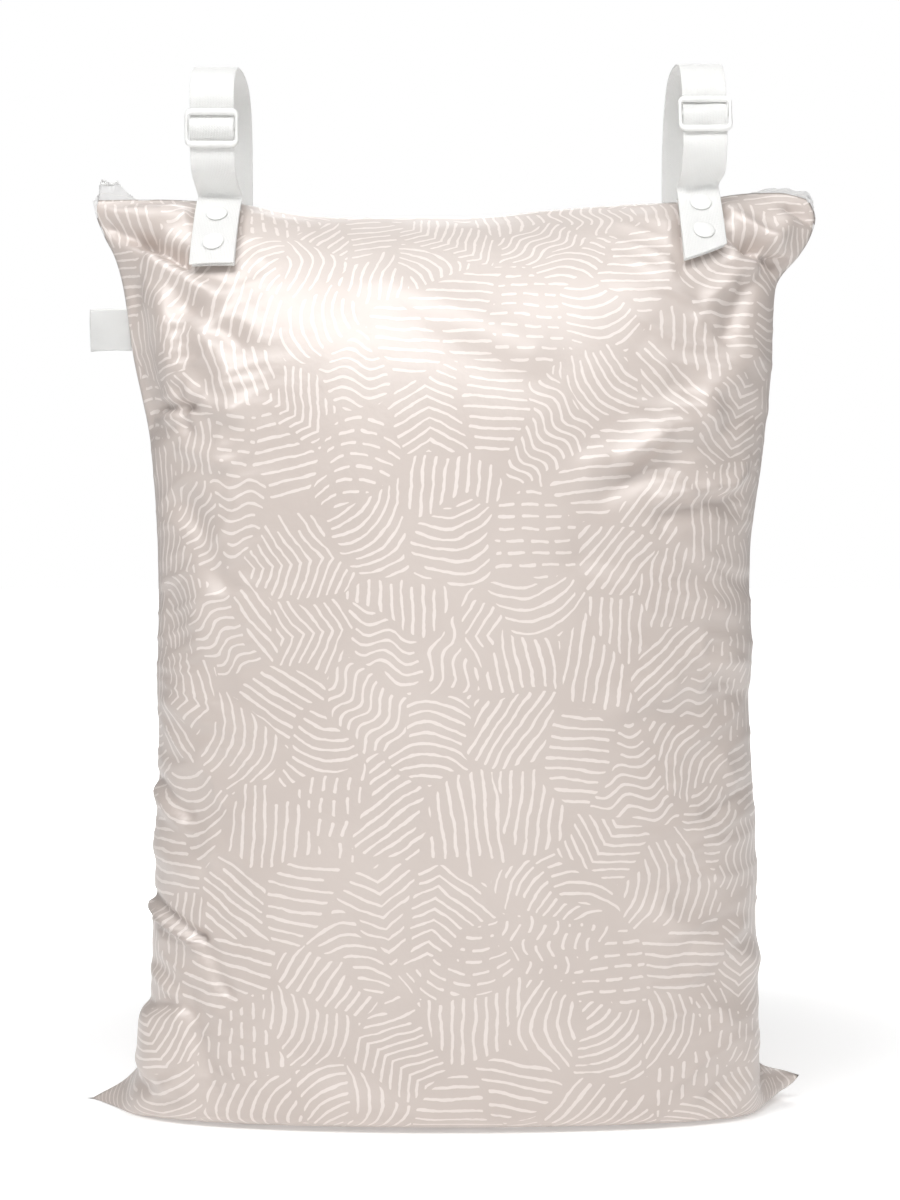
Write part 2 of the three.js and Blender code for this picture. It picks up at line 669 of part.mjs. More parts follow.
const holeThrough = (from, to) =>
  new THREE.CylinderGeometry(HOLE_RADIUS, HOLE_RADIUS, to - from, SNAP_SIDES)
    .rotateX(Math.PI / 2)
    .translate(0, 0, (from + to) / 2);

const withSnapHoles = (geometry, strap, from, to) => {
  const solid = SNAP_FROM_END.reduce(
    (body, fromEnd) => body.subtract(solidOf(holeThrough(from, to).applyMatrix4(snapFrame(strap, fromEnd)))),
    solidOf(geometry),
  );
  return geometryOf(solid);
};

const strapBody = (strap) =>
  withSnapHoles(
    thickSheet(strapStations(strap), STRAP_THICKNESS / 2, STRAP_THICKNESS / 2),
    strap,
    STRAP_BASE - SNAP_HOLE_MARGIN,
    CAP_BASE + SNAP_HOLE_MARGIN,
  );

// The tab under the strap's front end. Its top stays down on the ridge, where it is sewn in,
// and it has reached its full height where the upper snap begins.
const TAB_SHORTER = 1;
const TAB_STEPS = 8;
const tabBody = (strap) => {
  const height = TAB_BASE + STRAP_THICKNESS / 2;
  const half = STRAP_WIDTH / 2 - TAB_INSET;
  const upperSnap = strap.reach * SNAP_END_LENGTH - Math.max(...SNAP_FROM_END);
  const rise = upperSnap - SNAP_STUD_RADIUS;
  const lifted = (t) => ({ ...strap, lift: strap.lift * smoothStep(t / rise) });
  const sheet = thickSheet(
    grid(TAB_STEPS, 2, (share, across) => {
      const end = strap.reach * (SNAP_END_LENGTH - TAB_SHORTER);
      const t = end - (end - TAB_START) * share;
      return onSnapEnd(lifted(t), (2 * across - 1) * half, t, height).point;
    }),
    STRAP_THICKNESS / 2,
    STRAP_THICKNESS / 2,
  );
  return withSnapHoles(sheet, strap, TAB_BASE - SNAP_HOLE_MARGIN, SOCKET_BASE + SNAP_HOLE_MARGIN);
};

const snapStud = () =>
  turned([
    [0, STUD_BASE],
    [SNAP_STUD_RADIUS, STUD_BASE],
    [SNAP_STUD_RADIUS, STUD_BASE + SNAP_DISC],
    [SNAP_POST_RADIUS, STUD_BASE + SNAP_DISC],
    [SNAP_POST_RADIUS, SOCKET_BASE],
    [SNAP_HEAD_RADIUS, SOCKET_BASE + SNAP_HEAD_CHAMFER],
    [SNAP_HEAD_RADIUS, SOCKET_BASE + SOCKET_RISE - SNAP_HEAD_CHAMFER],
    [0, SOCKET_BASE + SOCKET_RISE - CLEARANCE],
  ]);

const snapSocket = () =>
  turned([
    [SNAP_HEAD_RADIUS + CLEARANCE, SOCKET_BASE],
    [SNAP_SOCKET_RADIUS, SOCKET_BASE],
    [SNAP_SOCKET_RADIUS, SOCKET_BASE + SOCKET_RISE],
    [SNAP_HEAD_RADIUS + CLEARANCE, SOCKET_BASE + SOCKET_RISE],
    [SNAP_HEAD_RADIUS + CLEARANCE, SOCKET_BASE],
  ]);

const snapCap = () =>
  turned([
    [0, STRAP_BASE],
    [SNAP_POST_RADIUS, STRAP_BASE],
    [SNAP_POST_RADIUS, CAP_BASE],
    [SNAP_CAP_RADIUS, CAP_BASE],
    [SNAP_CAP_RADIUS, CAP_BASE + 0.35 * SNAP_CAP_RISE],
    [SNAP_CAP_RADIUS * 0.8, CAP_BASE + 0.78 * SNAP_CAP_RISE],
    [SNAP_CAP_RADIUS * 0.4, CAP_BASE + 0.96 * SNAP_CAP_RISE],
    [0, CAP_BASE + SNAP_CAP_RISE],
  ]);

// A strap slider: a rounded frame and a thinner bar across its middle.
function glideBody(strap) {
  const window = roundedRectangle(
    GLIDE_WIDTH - 2 * GLIDE_SIDE_BAR,
    GLIDE_HEIGHT - 2 * GLIDE_BAR,
    GLIDE_WINDOW_CORNER,
    THREE.Path,
  );
  const frame = plate(GLIDE_WIDTH, GLIDE_HEIGHT, GLIDE_THICKNESS, GLIDE_CORNER, [window]);
  frame.translate(0, 0, -GLIDE_THICKNESS / 2);
  const barThickness = GLIDE_THICKNESS / 2 + GLIDE_CENTRE_FACE;
  const bar = new THREE.BoxGeometry(GLIDE_WIDTH - GLIDE_SIDE_BAR, GLIDE_CENTRE_BAR, barThickness);
  bar.translate(0, 0, GLIDE_CENTRE_FACE - barThickness / 2);
  const loop = loopOf(strap);
  const up = loop.down.clone().negate();
  const outward = loop.behindIt.clone().negate();
  const standing = new THREE.Matrix4().makeBasis(new THREE.Vector3(1, 0, 0), up, outward);
  standing.setPosition(loop.centre);
  return geometryOf(solidOf(frame).add(solidOf(bar))).applyMatrix4(standing);
}

// The label, a folded tape whose inner edge lies along the left side seam.
const LABEL_STEPS = 4;
function labelBody() {
  const seamAt = (z) => {
    let v = 0.5;
    for (let step = 0.25; step > 1e-5; step /= 2) v += smoothPoint(FRONT, -1, v).z < z ? step : -step;
    return smoothPoint(FRONT, -1, v).x;
  };
  const droop = Math.tan(THREE.MathUtils.degToRad(LABEL_DROOP));
  const points = grid(LABEL_STEPS, LABEL_STEPS, (up, across) => {
    const z = LABEL_MIDDLE * BAG_HEIGHT + LABEL_HEIGHT * (up - 0.5);
    const outward = LABEL_REACH * (1 - across);
    const x = seamAt(z) - CLEARANCE - outward;
    return new THREE.Vector3(x, -LABEL_CURL * (1 - across) ** 2, z - droop * outward);
  });
  return thickSheet(points, LABEL_THICKNESS / 2, LABEL_THICKNESS / 2);
}

const clothMaterial = new THREE.MeshStandardMaterial({ color: "#d5cac4", roughness: 0.42, metalness: 0 });
const webbingMaterial = new THREE.MeshStandardMaterial({ color: "#f6f6f4", roughness: 0.75, metalness: 0 });
const plasticMaterial = new THREE.MeshStandardMaterial({ color: "#fafaf8", roughness: 0.3, metalness: 0 });
const tapeMaterial = new THREE.MeshStandardMaterial({ color: "#f7f6f6", roughness: 0.8, metalness: 0 });

const bag = new THREE.Group();
const place = new THREE.Group();
bag.add(place);
const add = (name, geometry, material) => {
  const mesh = new THREE.Mesh(geometry, material);
  mesh.name = name;
  place.add(mesh);
};

add("bag_front", frontPanel(), clothMaterial);
add("bag_back", backPanel(), clothMaterial);
add("zip_tape_front", zipStrip(0, TAPE_WIDTH, 3, 0, TAPE_THICKNESS), tapeMaterial);
add("zip_coil", zipStrip(COIL_START, COIL_WIDTH, 1, COIL_OUT, TAPE_THICKNESS), plasticMaterial);
add("zip_tape_back", zipStrip(BACK_TAPE_START, TAPE_WIDTH, 3, 0, TAPE_THICKNESS), tapeMaterial);
add("zip_slider", zipSlider(), plasticMaterial);
add("zip_pull", zipPull(), plasticMaterial);
add("side_label", labelBody(), tapeMaterial);
for (const strap of STRAPS) {
  add(`strap_${strap.name}`, strapBody(strap), webbingMaterial);
  add(`snap_tab_${strap.name}`, tabBody(strap), webbingMaterial);
  add(`strap_slider_${strap.name}`, glideBody(strap), plasticMaterial);
  for (const [k, level] of ["lower", "upper"].entries()) {
    const frame = snapFrame(strap, SNAP_FROM_END[k]);
    add(`snap_stud_${strap.name}_${level}`, snapStud().applyMatrix4(frame), plasticMaterial);
    add(`snap_socket_${strap.name}_${level}`, snapSocket().applyMatrix4(frame), plasticMaterial);
    add(`snap_cap_${strap.name}_${level}`, snapCap().applyMatrix4(frame), plasticMaterial);
  }
}

// The origin is under the middle of the whole bag, on the floor.
const box = new THREE.Box3().setFromObject(place);
place.position.set(-(box.min.x + box.max.x) / 2, -(box.min.y + box.max.y) / 2, -box.min.z);

export default bag;
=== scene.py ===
# A stuffed wet bag of coated, printed cloth, standing upright. It has a zip along its top and
# two webbing loops that snap down on its front. Metres, +Z up, the front faces -Y, floor z = 0.

import math
from bisect import bisect_right
from functools import lru_cache

import bmesh
import bpy
from mathutils import Matrix, Vector, noise


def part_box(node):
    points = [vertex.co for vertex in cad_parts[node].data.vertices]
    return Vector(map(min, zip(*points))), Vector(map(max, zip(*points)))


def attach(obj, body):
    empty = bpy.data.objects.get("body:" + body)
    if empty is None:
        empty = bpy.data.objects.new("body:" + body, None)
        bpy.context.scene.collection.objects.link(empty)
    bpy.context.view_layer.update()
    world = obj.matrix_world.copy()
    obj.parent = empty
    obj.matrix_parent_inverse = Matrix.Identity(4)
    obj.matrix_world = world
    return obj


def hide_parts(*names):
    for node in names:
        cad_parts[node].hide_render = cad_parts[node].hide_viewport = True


# The one random draw, in the zip's bunches, comes out the same each run
noise.seed_set(1)

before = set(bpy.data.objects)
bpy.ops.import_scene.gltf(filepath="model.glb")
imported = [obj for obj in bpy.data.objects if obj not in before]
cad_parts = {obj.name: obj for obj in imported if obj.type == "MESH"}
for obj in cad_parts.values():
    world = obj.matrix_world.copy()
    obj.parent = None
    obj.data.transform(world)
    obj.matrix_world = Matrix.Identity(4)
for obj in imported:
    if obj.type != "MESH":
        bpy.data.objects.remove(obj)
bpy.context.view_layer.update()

MM = 0.001
FRONT = -1
BACK = 1

# The stuffed bag
BAG_WIDTH = 0.42
BAG_HEIGHT = 0.52
BAG_DEPTH = 0.192
BACK_FULLNESS = 0.96
HALF_WIDTH = BAG_WIDTH / 2
HALF_DEPTH = BAG_DEPTH / 2
CLOTH = 1.0 * MM
CUT_WIDTH = 0.44
CUT_LENGTH = 0.64

# The zip on the back slope, from the ridge down
TAPE_WIDTH = 11 * MM
COIL_WIDTH = 4.4 * MM
COIL_GAP = 0.5 * MM
ZIP_WIDTH = 2 * TAPE_WIDTH + COIL_WIDTH + 2 * COIL_GAP + 0.3 * MM
COIL_START = TAPE_WIDTH + COIL_GAP
BACK_TAPE_START = COIL_START + COIL_WIDTH + COIL_GAP

# The webbing and the snaps
STRAP_WIDTH = 25.4 * MM
STRAP_THICKNESS = 1.2 * MM
SNAP_END_LENGTH = 62 * MM
SEWN_LENGTH = 28 * MM
LEAVES_BACK_AT = 60 * MM
LOOP_DEPTH = 76 * MM
LOOP_CENTRE_Y = 10 * MM
SNAP_FROM_END = {"lower": 14.5 * MM, "upper": 36.5 * MM}
SNAP_CAP_RADIUS = 6.1 * MM
STUD_BASE = 0.65 * MM
TAB_BASE = 1.925 * MM
SOCKET_BASE = 3.6 * MM
SOCKET_RISE = 1.5 * MM
STRAP_BASE = 5.575 * MM
CAP_BASE = 7.25 * MM

# The strap sliders
GLIDE_WIDTH = 31 * MM
GLIDE_HEIGHT = 22.5 * MM
GLIDE_THICKNESS = 3 * MM
GLIDE_BAR = 4 * MM
GLIDE_SIDE_BAR = 2.3 * MM
GLIDE_CENTRE_BAR = 3.4 * MM

# Sections of the bag from the bottom seam over the floor, up the belly and in to the ridge:
# the side seams as shares of half the width, three heights as shares of the height, how far
# the panel stands out as a share of half the depth, its wrap in degrees and its squareness.
SECTION_COLUMNS = ["left", "right", "seam_left", "seam_right", "middle", "out", "wrap", "square"]
SECTIONS = [
    (1.0, 0.986, 0.008, 0.027, 0.0, 0.0, 78, 0.62),
    (0.957, 0.938, 0.017, 0.033, 0.0, 0.35, 88, 0.58),
    (0.905, 0.886, 0.027, 0.038, 0.0, 0.66, 94, 0.56),
    (0.865, 0.848, 0.046, 0.054, 0.012, 0.865, 99, 0.58),
    (0.842, 0.843, 0.087, 0.087, 0.06, 0.945, 99, 0.62),
    (0.829, 0.855, 0.173, 0.173, 0.163, 0.985, 93, 0.7),
    (0.819, 0.851, 0.308, 0.308, 0.308, 1.0, 90, 0.76),
    (0.813, 0.836, 0.462, 0.462, 0.47, 1.0, 90, 0.8),
    (0.816, 0.838, 0.615, 0.615, 0.625, 0.975, 90, 0.8),
    (0.835, 0.875, 0.74, 0.74, 0.746, 0.91, 88, 0.82),
    (0.885, 0.896, 0.846, 0.846, 0.842, 0.8, 86, 0.74),
    (0.912, 0.908, 0.923, 0.923, 0.915, 0.6, 82, 0.68),
    (0.935, 0.972, 0.956, 0.956, 0.943, 0.46, 79, 0.66),
    (0.962, 1.003, 0.977, 0.977, 0.967, 0.3, 76, 0.66),
    (0.986, 1.019, 1.002, 1.0, 0.987, 0.135, 73, 0.7),
    (0.995, 0.997, 1.019, 1.02, 1.0, 0.0, 72, 0.8),
]
BASE_SECTIONS = 3

# The ridge's rise over its middle, as a share of the height, from the left corner to the right
RIDGE = [
    (-1.0, 0.019), (-0.84, 0.02), (-0.6, 0.0155), (-0.45, 0.005), (-0.3, 0.0), (0.05, 0.0),
    (0.3, 0.009), (0.5, 0.0145), (0.68, 0.018), (0.82, 0.0265), (0.92, 0.0275), (1.0, 0.02),
]
RIDGE_FADE = 0.8
FLAT_BASE = 0.6

# A strap's free part, behind the loop's middle as a share of half its depth and up as a share
# of its height, and the two straps as shares of the bag's half width and height.
LOOP_PATH = [
    (1.02, -0.26), (1.05, 0.04), (1.06, 0.36), (1.02, 0.62), (0.92, 0.79), (0.71, 0.91),
    (0.39, 0.975), (0.0, 1.0), (-0.38, 1.0), (-0.7, 0.96), (-0.9, 0.86), (-0.98, 0.71),
    (-1.0, 0.52), (-0.97, 0.34), (-0.8, 0.18),
]
STRAPS = {
    "left": dict(front=-0.638, glide_x=-0.65, back=-0.63, top=0.15, glide=0.074,
                 lift=0.0, peak=0.0, reach=0.97, turn=5, slant=0.19),
    "right": dict(front=0.688, glide_x=0.697, back=0.672, top=0.154, glide=0.09,
                  lift=0.016, peak=0.3, reach=0.84, turn=11, slant=-0.29),
}

# Folds and creases: where each starts and ends, x and z in millimetres, its half width and
# height there, negative for a valley, and its roll: 0 for an even fold, 1 for a tuck whose
# cloth stands up above the line and sinks below it.
FRONT_CREASES = [
    (-198, 511, -176, 503, 6, -5.8, 0.3),
    (-180, 504, -148, 488, 5, -9.5, 0.4),
    (-198, 523, -125, 515, 7, 3.5, 0.0),
    (-170, 489, -135, 470, 7, 4.0, 0.3),
    (-160, 495, -150, 490, 7, -4.0, 0.0),
    (-186, 478, -172, 402, 8, -5.0, 0.0),
    (-166, 470, -158, 425, 7, 3.5, 0.2),
    (-150, 462, -124, 442, 8, -4.0, 0.3),
    (-172, 404, -146, 405, 4, -4.5, 0.8),
    (-156, 417, -149, 394, 4, -3.5, 0.3),
    (-148, 414, -122, 401, 6, 3.0, 0.2),
    (-150, 380, -128, 372, 6, 2.2, 0.6),
    (-153, 350, -131, 312, 9, -4.5, 0.2),
    (-166, 300, -150, 262, 10, -2.6, 0.3),
    (-158, 236, -140, 228, 7, 2.2, 0.5),
    (-170, 190, -152, 174, 5, -3.5, 0.7),
    (-168, 150, -146, 142, 7, 2.4, 0.5),
    (-172, 122, -142, 106, 4, -4.2, 0.9),
    (-164, 113, -140, 102, 4, 3.0, 0.6),
    (-141, 105, -128, 79, 5, -3.6, 0.4),
    (-172, 52, -164, 18, 12, 5.0, 0.0),
    (-150, 66, -136, 24, 7, -3.8, 0.3),
    (-168, 84, -150, 74, 5, -3.0, 0.6),
    (-172, 62, -156, 66, 5, -3.2, 0.6),
    (-180, 10, -160, 26, 6, -3.4, 0.5),
    (-184, 20, -152, 5, 6, -4.5, 0.4),
    (-166, 8, -136, 12, 6, -3.2, 0.5),
    (100, 374, 118, 385, 6, 3.0, 0.8),
    (96, 362, 124, 372, 8, -3.0, 0.4),
    (120, 352, 160, 360, 5, 3.6, 0.8),
    (158, 359, 168, 369, 5, 3.0, 0.4),
    (120, 340, 160, 346, 7, -2.6, 0.3),
    (146, 414, 170, 438, 10, 4.0, 0.0),
    (126, 416, 154, 408, 7, -3.8, 0.4),
    (158, 395, 172, 400, 6, -2.4, 0.5),
    (172, 499, 194, 487, 6, -10.0, 0.1),
    (186, 502, 162, 518, 5, 4.0, 0.4),
    (184, 498, 150, 506, 5, -4.0, 0.5),
    (178, 490, 146, 490, 5, 3.6, 0.5),
    (176, 486, 152, 468, 6, 4.0, 0.5),
    (172, 478, 160, 448, 7, -4.4, 0.3),
    (196, 512, 186, 500, 6, 4.0, 0.2),
    (198, 523, 213, 515, 4, -4.6, 0.5),
    (154, 262, 170, 250, 8, 2.4, 0.5),
    (150, 176, 168, 184, 7, -2.4, 0.5),
    (146, 96, 166, 108, 7, 2.6, 0.5),
    (128, 6, 150, 14, 6, -3.0, 0.5),
    (148, 12, 164, 28, 7, -3.2, 0.2),
    (-144, 455, -121, 402, 12, 3.5, 0.4),
    (82, 366, 147, 396, 12, 3.5, 0.6),
    (76, 319, 165, 302, 12, -3.0, 0.5),
    (-41, 472, 41, 431, 14, 2.4, 0.5),
    (-129, 319, -147, 237, 14, 3.0, 0.4),
    (100, 237, 170, 261, 12, 2.6, 0.5),
    (-147, 137, -112, 166, 12, 2.8, 0.5),
    (112, 119, 170, 84, 12, 2.8, 0.5),
    (-88, 40, -20, 16, 14, -2.5, 0.4),
]
BACK_CREASES = [
    (-196, 484, -140, 452, 8, -5.5, 0.3),
    (196, 476, 142, 440, 8, -5.5, 0.3),
    (-160, 372, -124, 316, 9, -4.5, 0.4),
    (164, 322, 114, 262, 9, -4.5, 0.4),
    (-172, 138, -118, 92, 8, -5.0, 0.4),
    (168, 128, 118, 82, 8, -5.0, 0.4),
    (-150, 240, -120, 236, 6, 3.0, 0.6),
    (150, 190, 124, 196, 6, 3.0, 0.6),
]

# One unit of the heights in the tables of folds
FOLD_HEIGHT = 1.2 * MM

# How far the tip of the left bottom corner is pulled out and down, and the zone it draws along:
# the share of the half width where it starts, and its top
CORNER_PULL = Vector((-7 * MM, 0, -6.5 * MM))
CORNER_PULL_FROM = 0.8
CORNER_PULL_TOP = 52 * MM

# Small wrinkles run in from the side seams: their height, length and spacing
WRINKLE_HEIGHT = 2.2 * MM
WRINKLE_LENGTH = 38 * MM
WRINKLE_SPACING = 13 * MM
WAVE_HEIGHT = 3.2 * MM
WAVE_LENGTH = 56 * MM


def smooth_step(t):
    k = min(1.0, max(0.0, t))
    return k * k * (3 - 2 * k)


def monotone(xs, ys):
    """A curve through rows of values that never swings past them."""
    slopes = [(ys[k + 1] - ys[k]) / (xs[k + 1] - xs[k]) for k in range(len(xs) - 1)]
    tangents = [slopes[0]]
    for before, after in zip(slopes, slopes[1:]):
        tangents.append(0 if before * after <= 0 else 2 * before * after / (before + after))
    tangents.append(slopes[-1])

    def value(x):
        k = min(len(xs) - 2, max(0, bisect_right(xs, x) - 1))
        h = xs[k + 1] - xs[k]
        t = (x - xs[k]) / h
        rise = t * t * (3 - 2 * t)
        start = t * (1 - t) ** 2 * h * tangents[k]
        end = t * t * (t - 1) * h * tangents[k + 1]
        return ys[k] * (1 - rise) + ys[k + 1] * rise + start + end

    return value


def section_places():
    """Each section's place between the bottom seam, 0, and the ridge, 1, by length."""
    places = [0.0]
    for before, after in zip(SECTIONS, SECTIONS[1:]):
        rise = (after[4] - before[4]) * BAG_HEIGHT
        run = (after[5] - before[5]) * HALF_DEPTH
        places.append(places[-1] + math.hypot(rise, run))
    return [place / places[-1] for place in places]


PLACES = section_places()
BASE_END = PLACES[BASE_SECTIONS]
CURVES = {
    name: monotone(PLACES, [row[k] for row in SECTIONS]) for k, name in enumerate(SECTION_COLUMNS)
}
ridge_rise = monotone([row[0] for row in RIDGE], [row[1] for row in RIDGE])


@lru_cache(maxsize=None)
def section(v):
    return {name: curve(v) for name, curve in CURVES.items()}


def bag_shift():
    """From the bag's own frame, whose seams lie in y = 0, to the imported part's frame."""
    low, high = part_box("bag_front")
    rows = 36
    left = min(-section(k / rows)["left"] * HALF_WIDTH for k in range(rows + 1))
    return Vector((low.x - left, high.y + 0.15 * MM, 0))


SHIFT = bag_shift()


def smooth_point(side, u, v):
    """A point of the bag without its folds: u runs from side seam to side seam, -1 to 1."""
    at = section(v)
    left = at["left"] * HALF_WIDTH
    right = at["right"] * HALF_WIDTH
    wrap = math.radians(at["wrap"])
    share = math.sin(u * wrap) / math.sin(wrap)
    x = (right - left) / 2 + (right + left) / 2 * share
    fall = max(0.0, (math.cos(u * wrap) - math.cos(wrap)) / (1 - math.cos(wrap)))
    fullness = BACK_FULLNESS if side == BACK else 1
    y = side * at["out"] * HALF_DEPTH * fullness * fall ** at["square"]
    ridge = smooth_step((v - RIDGE_FADE) / (1 - RIDGE_FADE))
    edge = max(0.0, (abs(u) - FLAT_BASE) / (1 - FLAT_BASE)) ** 3
    seam = at["seam_left"] if u < 0 else at["seam_right"]
    seam_rise = seam - at["middle"] - ridge * ridge_rise(math.copysign(1, u))
    z = (at["middle"] + ridge * ridge_rise(share) + edge * seam_rise) * BAG_HEIGHT
    return Vector((x, y, z)) + SHIFT


STEP = 0.002


def smooth_normal(side, u, v):
    u = min(1 - STEP, max(STEP - 1, u))
    v = min(1 - STEP, max(STEP, v))
    across = smooth_point(side, u + STEP, v) - smooth_point(side, u - STEP, v)
    up = smooth_point(side, u, v + STEP) - smooth_point(side, u, v - STEP)
    return (across.cross(up) * -side).normalized()


def down_slope(point_at, distance, steps=60, part=0.3):
    """The place v that lies this far down from the ridge on a column of the panel."""
    before = point_at(1.0)
    passed = 0.0
    for k in range(1, steps + 1):
        v = 1 - part * k / steps
        point = point_at(v)
        step = (point - before).length
        if passed + step >= distance:
            return v + part / steps * (passed + step - distance) / step
        passed += step
        before = point
    return 1 - part


def column_at(x, v):
    """The column u of a place x, which is measured from the bag's middle."""
    at = section(v)
    left = at["left"] * HALF_WIDTH
    right = at["right"] * HALF_WIDTH
    wrap = math.radians(at["wrap"])
    share = (x - (right - left) / 2) / ((right + left) / 2) * math.sin(wrap)
    return math.asin(min(1.0, max(-1.0, share))) / wrap


def on_slope(side, x, distance, height):
    """A point over the smooth panel at x, this far down the slope from the ridge."""
    v = down_slope(lambda w: smooth_point(side, column_at(x, w), w), distance)
    u = column_at(x, v)
    return smooth_point(side, u, v) + smooth_normal(side, u, v) * height


# Making and placing pieces


def new_piece(name, bm):
    mesh = bpy.data.meshes.new(name)
    bm.to_mesh(mesh)
    bm.free()
    piece = bpy.data.objects.new(name, mesh)
    bpy.context.scene.collection.objects.link(piece)
    return piece


def sheet_grid(columns, rows, place, cut=(1.0, 1.0)):
    """A sheet of columns by rows faces, each vertex set by place(share across, share up).
    Its UV map holds the sheet as it was cut, in metres."""
    bm = bmesh.new()
    uv = bm.loops.layers.uv.new("cut")
    bmesh.ops.create_grid(bm, x_segments=columns, y_segments=rows, size=1, calc_uvs=True)
    for face in bm.faces:
        for loop in face.loops:
            loop[uv].uv = (
                (loop.vert.co.x + 1) / 2 * cut[0],
                (loop.vert.co.y + 1) / 2 * cut[1],
            )
    for vert in bm.verts:
        vert.co = place((vert.co.x + 1) / 2, (vert.co.y + 1) / 2)
    return bm


def settle(piece):
    """Applies a piece's modifiers to its mesh."""
    view = bpy.context.evaluated_depsgraph_get()
    mesh = bpy.data.meshes.new_from_object(
        piece.evaluated_get(view), preserve_all_data_layers=True, depsgraph=view
    )
    piece.modifiers.clear()
    piece.data = mesh


def dress(piece, material, slot, *nodes):
    """Gives a finished piece its material and its place in the frame."""
    piece.data.materials.clear()
    piece.data.materials.append(material)
    piece.data.shade_smooth()
    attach(piece, "root")
    if nodes:
        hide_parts(*nodes)


def thicken(piece, thickness, offset, edge=0.0, segments=2):
    wall = piece.modifiers.new("wall", "SOLIDIFY")
    wall.thickness = thickness
    wall.offset = offset
    wall.use_even_offset = False
    if edge:
        rim = piece.modifiers.new("rim", "BEVEL")
        rim.width = edge
        rim.segments = segments
        rim.limit_method = "ANGLE"
        rim.angle_limit = math.radians(50)


# Materials


class Graph:
    """A material's nodes, added one by one, each giving back its output."""

    def __init__(self, name):
        self.material = bpy.data.materials.new(name)
        self.material.use_nodes = True
        self.tree = self.material.node_tree
        self.shader = self.tree.nodes["Principled BSDF"]

    def feed(self, socket, value):
        if isinstance(value, bpy.types.NodeSocket):
            self.tree.links.new(value, socket)
        else:
            socket.default_value = value

    def add(self, kind, output, settings=None, **inputs):
        node = self.tree.nodes.new("ShaderNode" + kind)
        for name, value in (settings or {}).items():
            setattr(node, name, value)
        for name, value in inputs.items():
            self.feed(node.inputs[name.replace("_", " ")], value)
        return node.outputs[output]

    def math(self, operation, *values):
        node = self.tree.nodes.new("ShaderNodeMath")
        node.operation = operation
        for socket, value in zip(node.inputs, values):
            self.feed(socket, value)
        return node.outputs[0]

    def total(self, first, *others):
        for value in others:
            first = self.math("ADD", first, value)
        return first

    def vector(self, operation, *values):
        node = self.tree.nodes.new("ShaderNodeVectorMath")
        node.operation = operation
        sockets = [node.inputs["Scale"] if operation == "SCALE" and k else node.inputs[k]
                   for k in range(len(values))]
        for socket, value in zip(sockets, values):
            self.feed(socket, value)
        return node.outputs[0]

    def split(self, vector):
        node = self.tree.nodes.new("ShaderNodeSeparateXYZ")
        self.feed(node.inputs[0], vector)
        return node.outputs["X"], node.outputs["Y"], node.outputs["Z"]

    def cut(self):
        """Places on the cut cloth, in millimetres."""
        place = self.add("UVMap", "UV", {"uv_map": "cut"})
        return self.vector("SCALE", place, 1000.0)

    def body(self):
        """Places in space, in millimetres."""
        return self.vector("SCALE", self.add("TexCoord", "Object"), 1000.0)

    def noise(self, place, size, detail=2.0):
        return self.add("TexNoise", 0, None, Vector=place, Scale=1 / size, Detail=detail)

    def ramp(self, value, low, high, to_low=0.0, to_high=1.0, smooth=True):
        node = self.tree.nodes.new("ShaderNodeMapRange")
        node.interpolation_type = "SMOOTHSTEP" if smooth else "LINEAR"
        for name, number in [("Value", value), ("From Min", low), ("From Max", high),
                             ("To Min", to_low), ("To Max", to_high)]:
            self.feed(node.inputs[name], number)
        return node.outputs[0]

    def mix(self, share, first, second):
        node = self.tree.nodes.new("ShaderNodeMix")
        node.data_type = "RGBA"
        share_socket, first_socket, second_socket = node.inputs[0], node.inputs[6], node.inputs[7]
        self.feed(share_socket, share)
        self.feed(first_socket, first)
        self.feed(second_socket, second)
        return node.outputs[2]

    def bump(self, height, distance, strength=1.0):
        normal = self.add("Bump", "Normal", None, Height=height, Distance=distance,
                          Strength=strength)
        self.feed(self.shader.inputs["Normal"], normal)


PATCH = 40.0
STROKE_PITCH = 6.0


def warped(graph, place, size, reach, detail=1.0):
    """Places moved about by a noise, in millimetres."""
    noise_colour = graph.add("TexNoise", 1, None, Vector=place, Scale=1 / size, Detail=detail)
    move = graph.vector("SUBTRACT", noise_colour, (0.5, 0.5, 0.5))
    return graph.vector("ADD", place, graph.vector("SCALE", move, reach))


def patches(graph, place, feature):
    node = graph.tree.nodes.new("ShaderNodeTexVoronoi")
    node.voronoi_dimensions = "2D"
    node.feature = feature
    graph.feed(node.inputs["Vector"], graph.vector("SCALE", place, 1 / PATCH))
    node.inputs["Scale"].default_value = 1.0
    node.inputs["Randomness"].default_value = 1.0
    return node


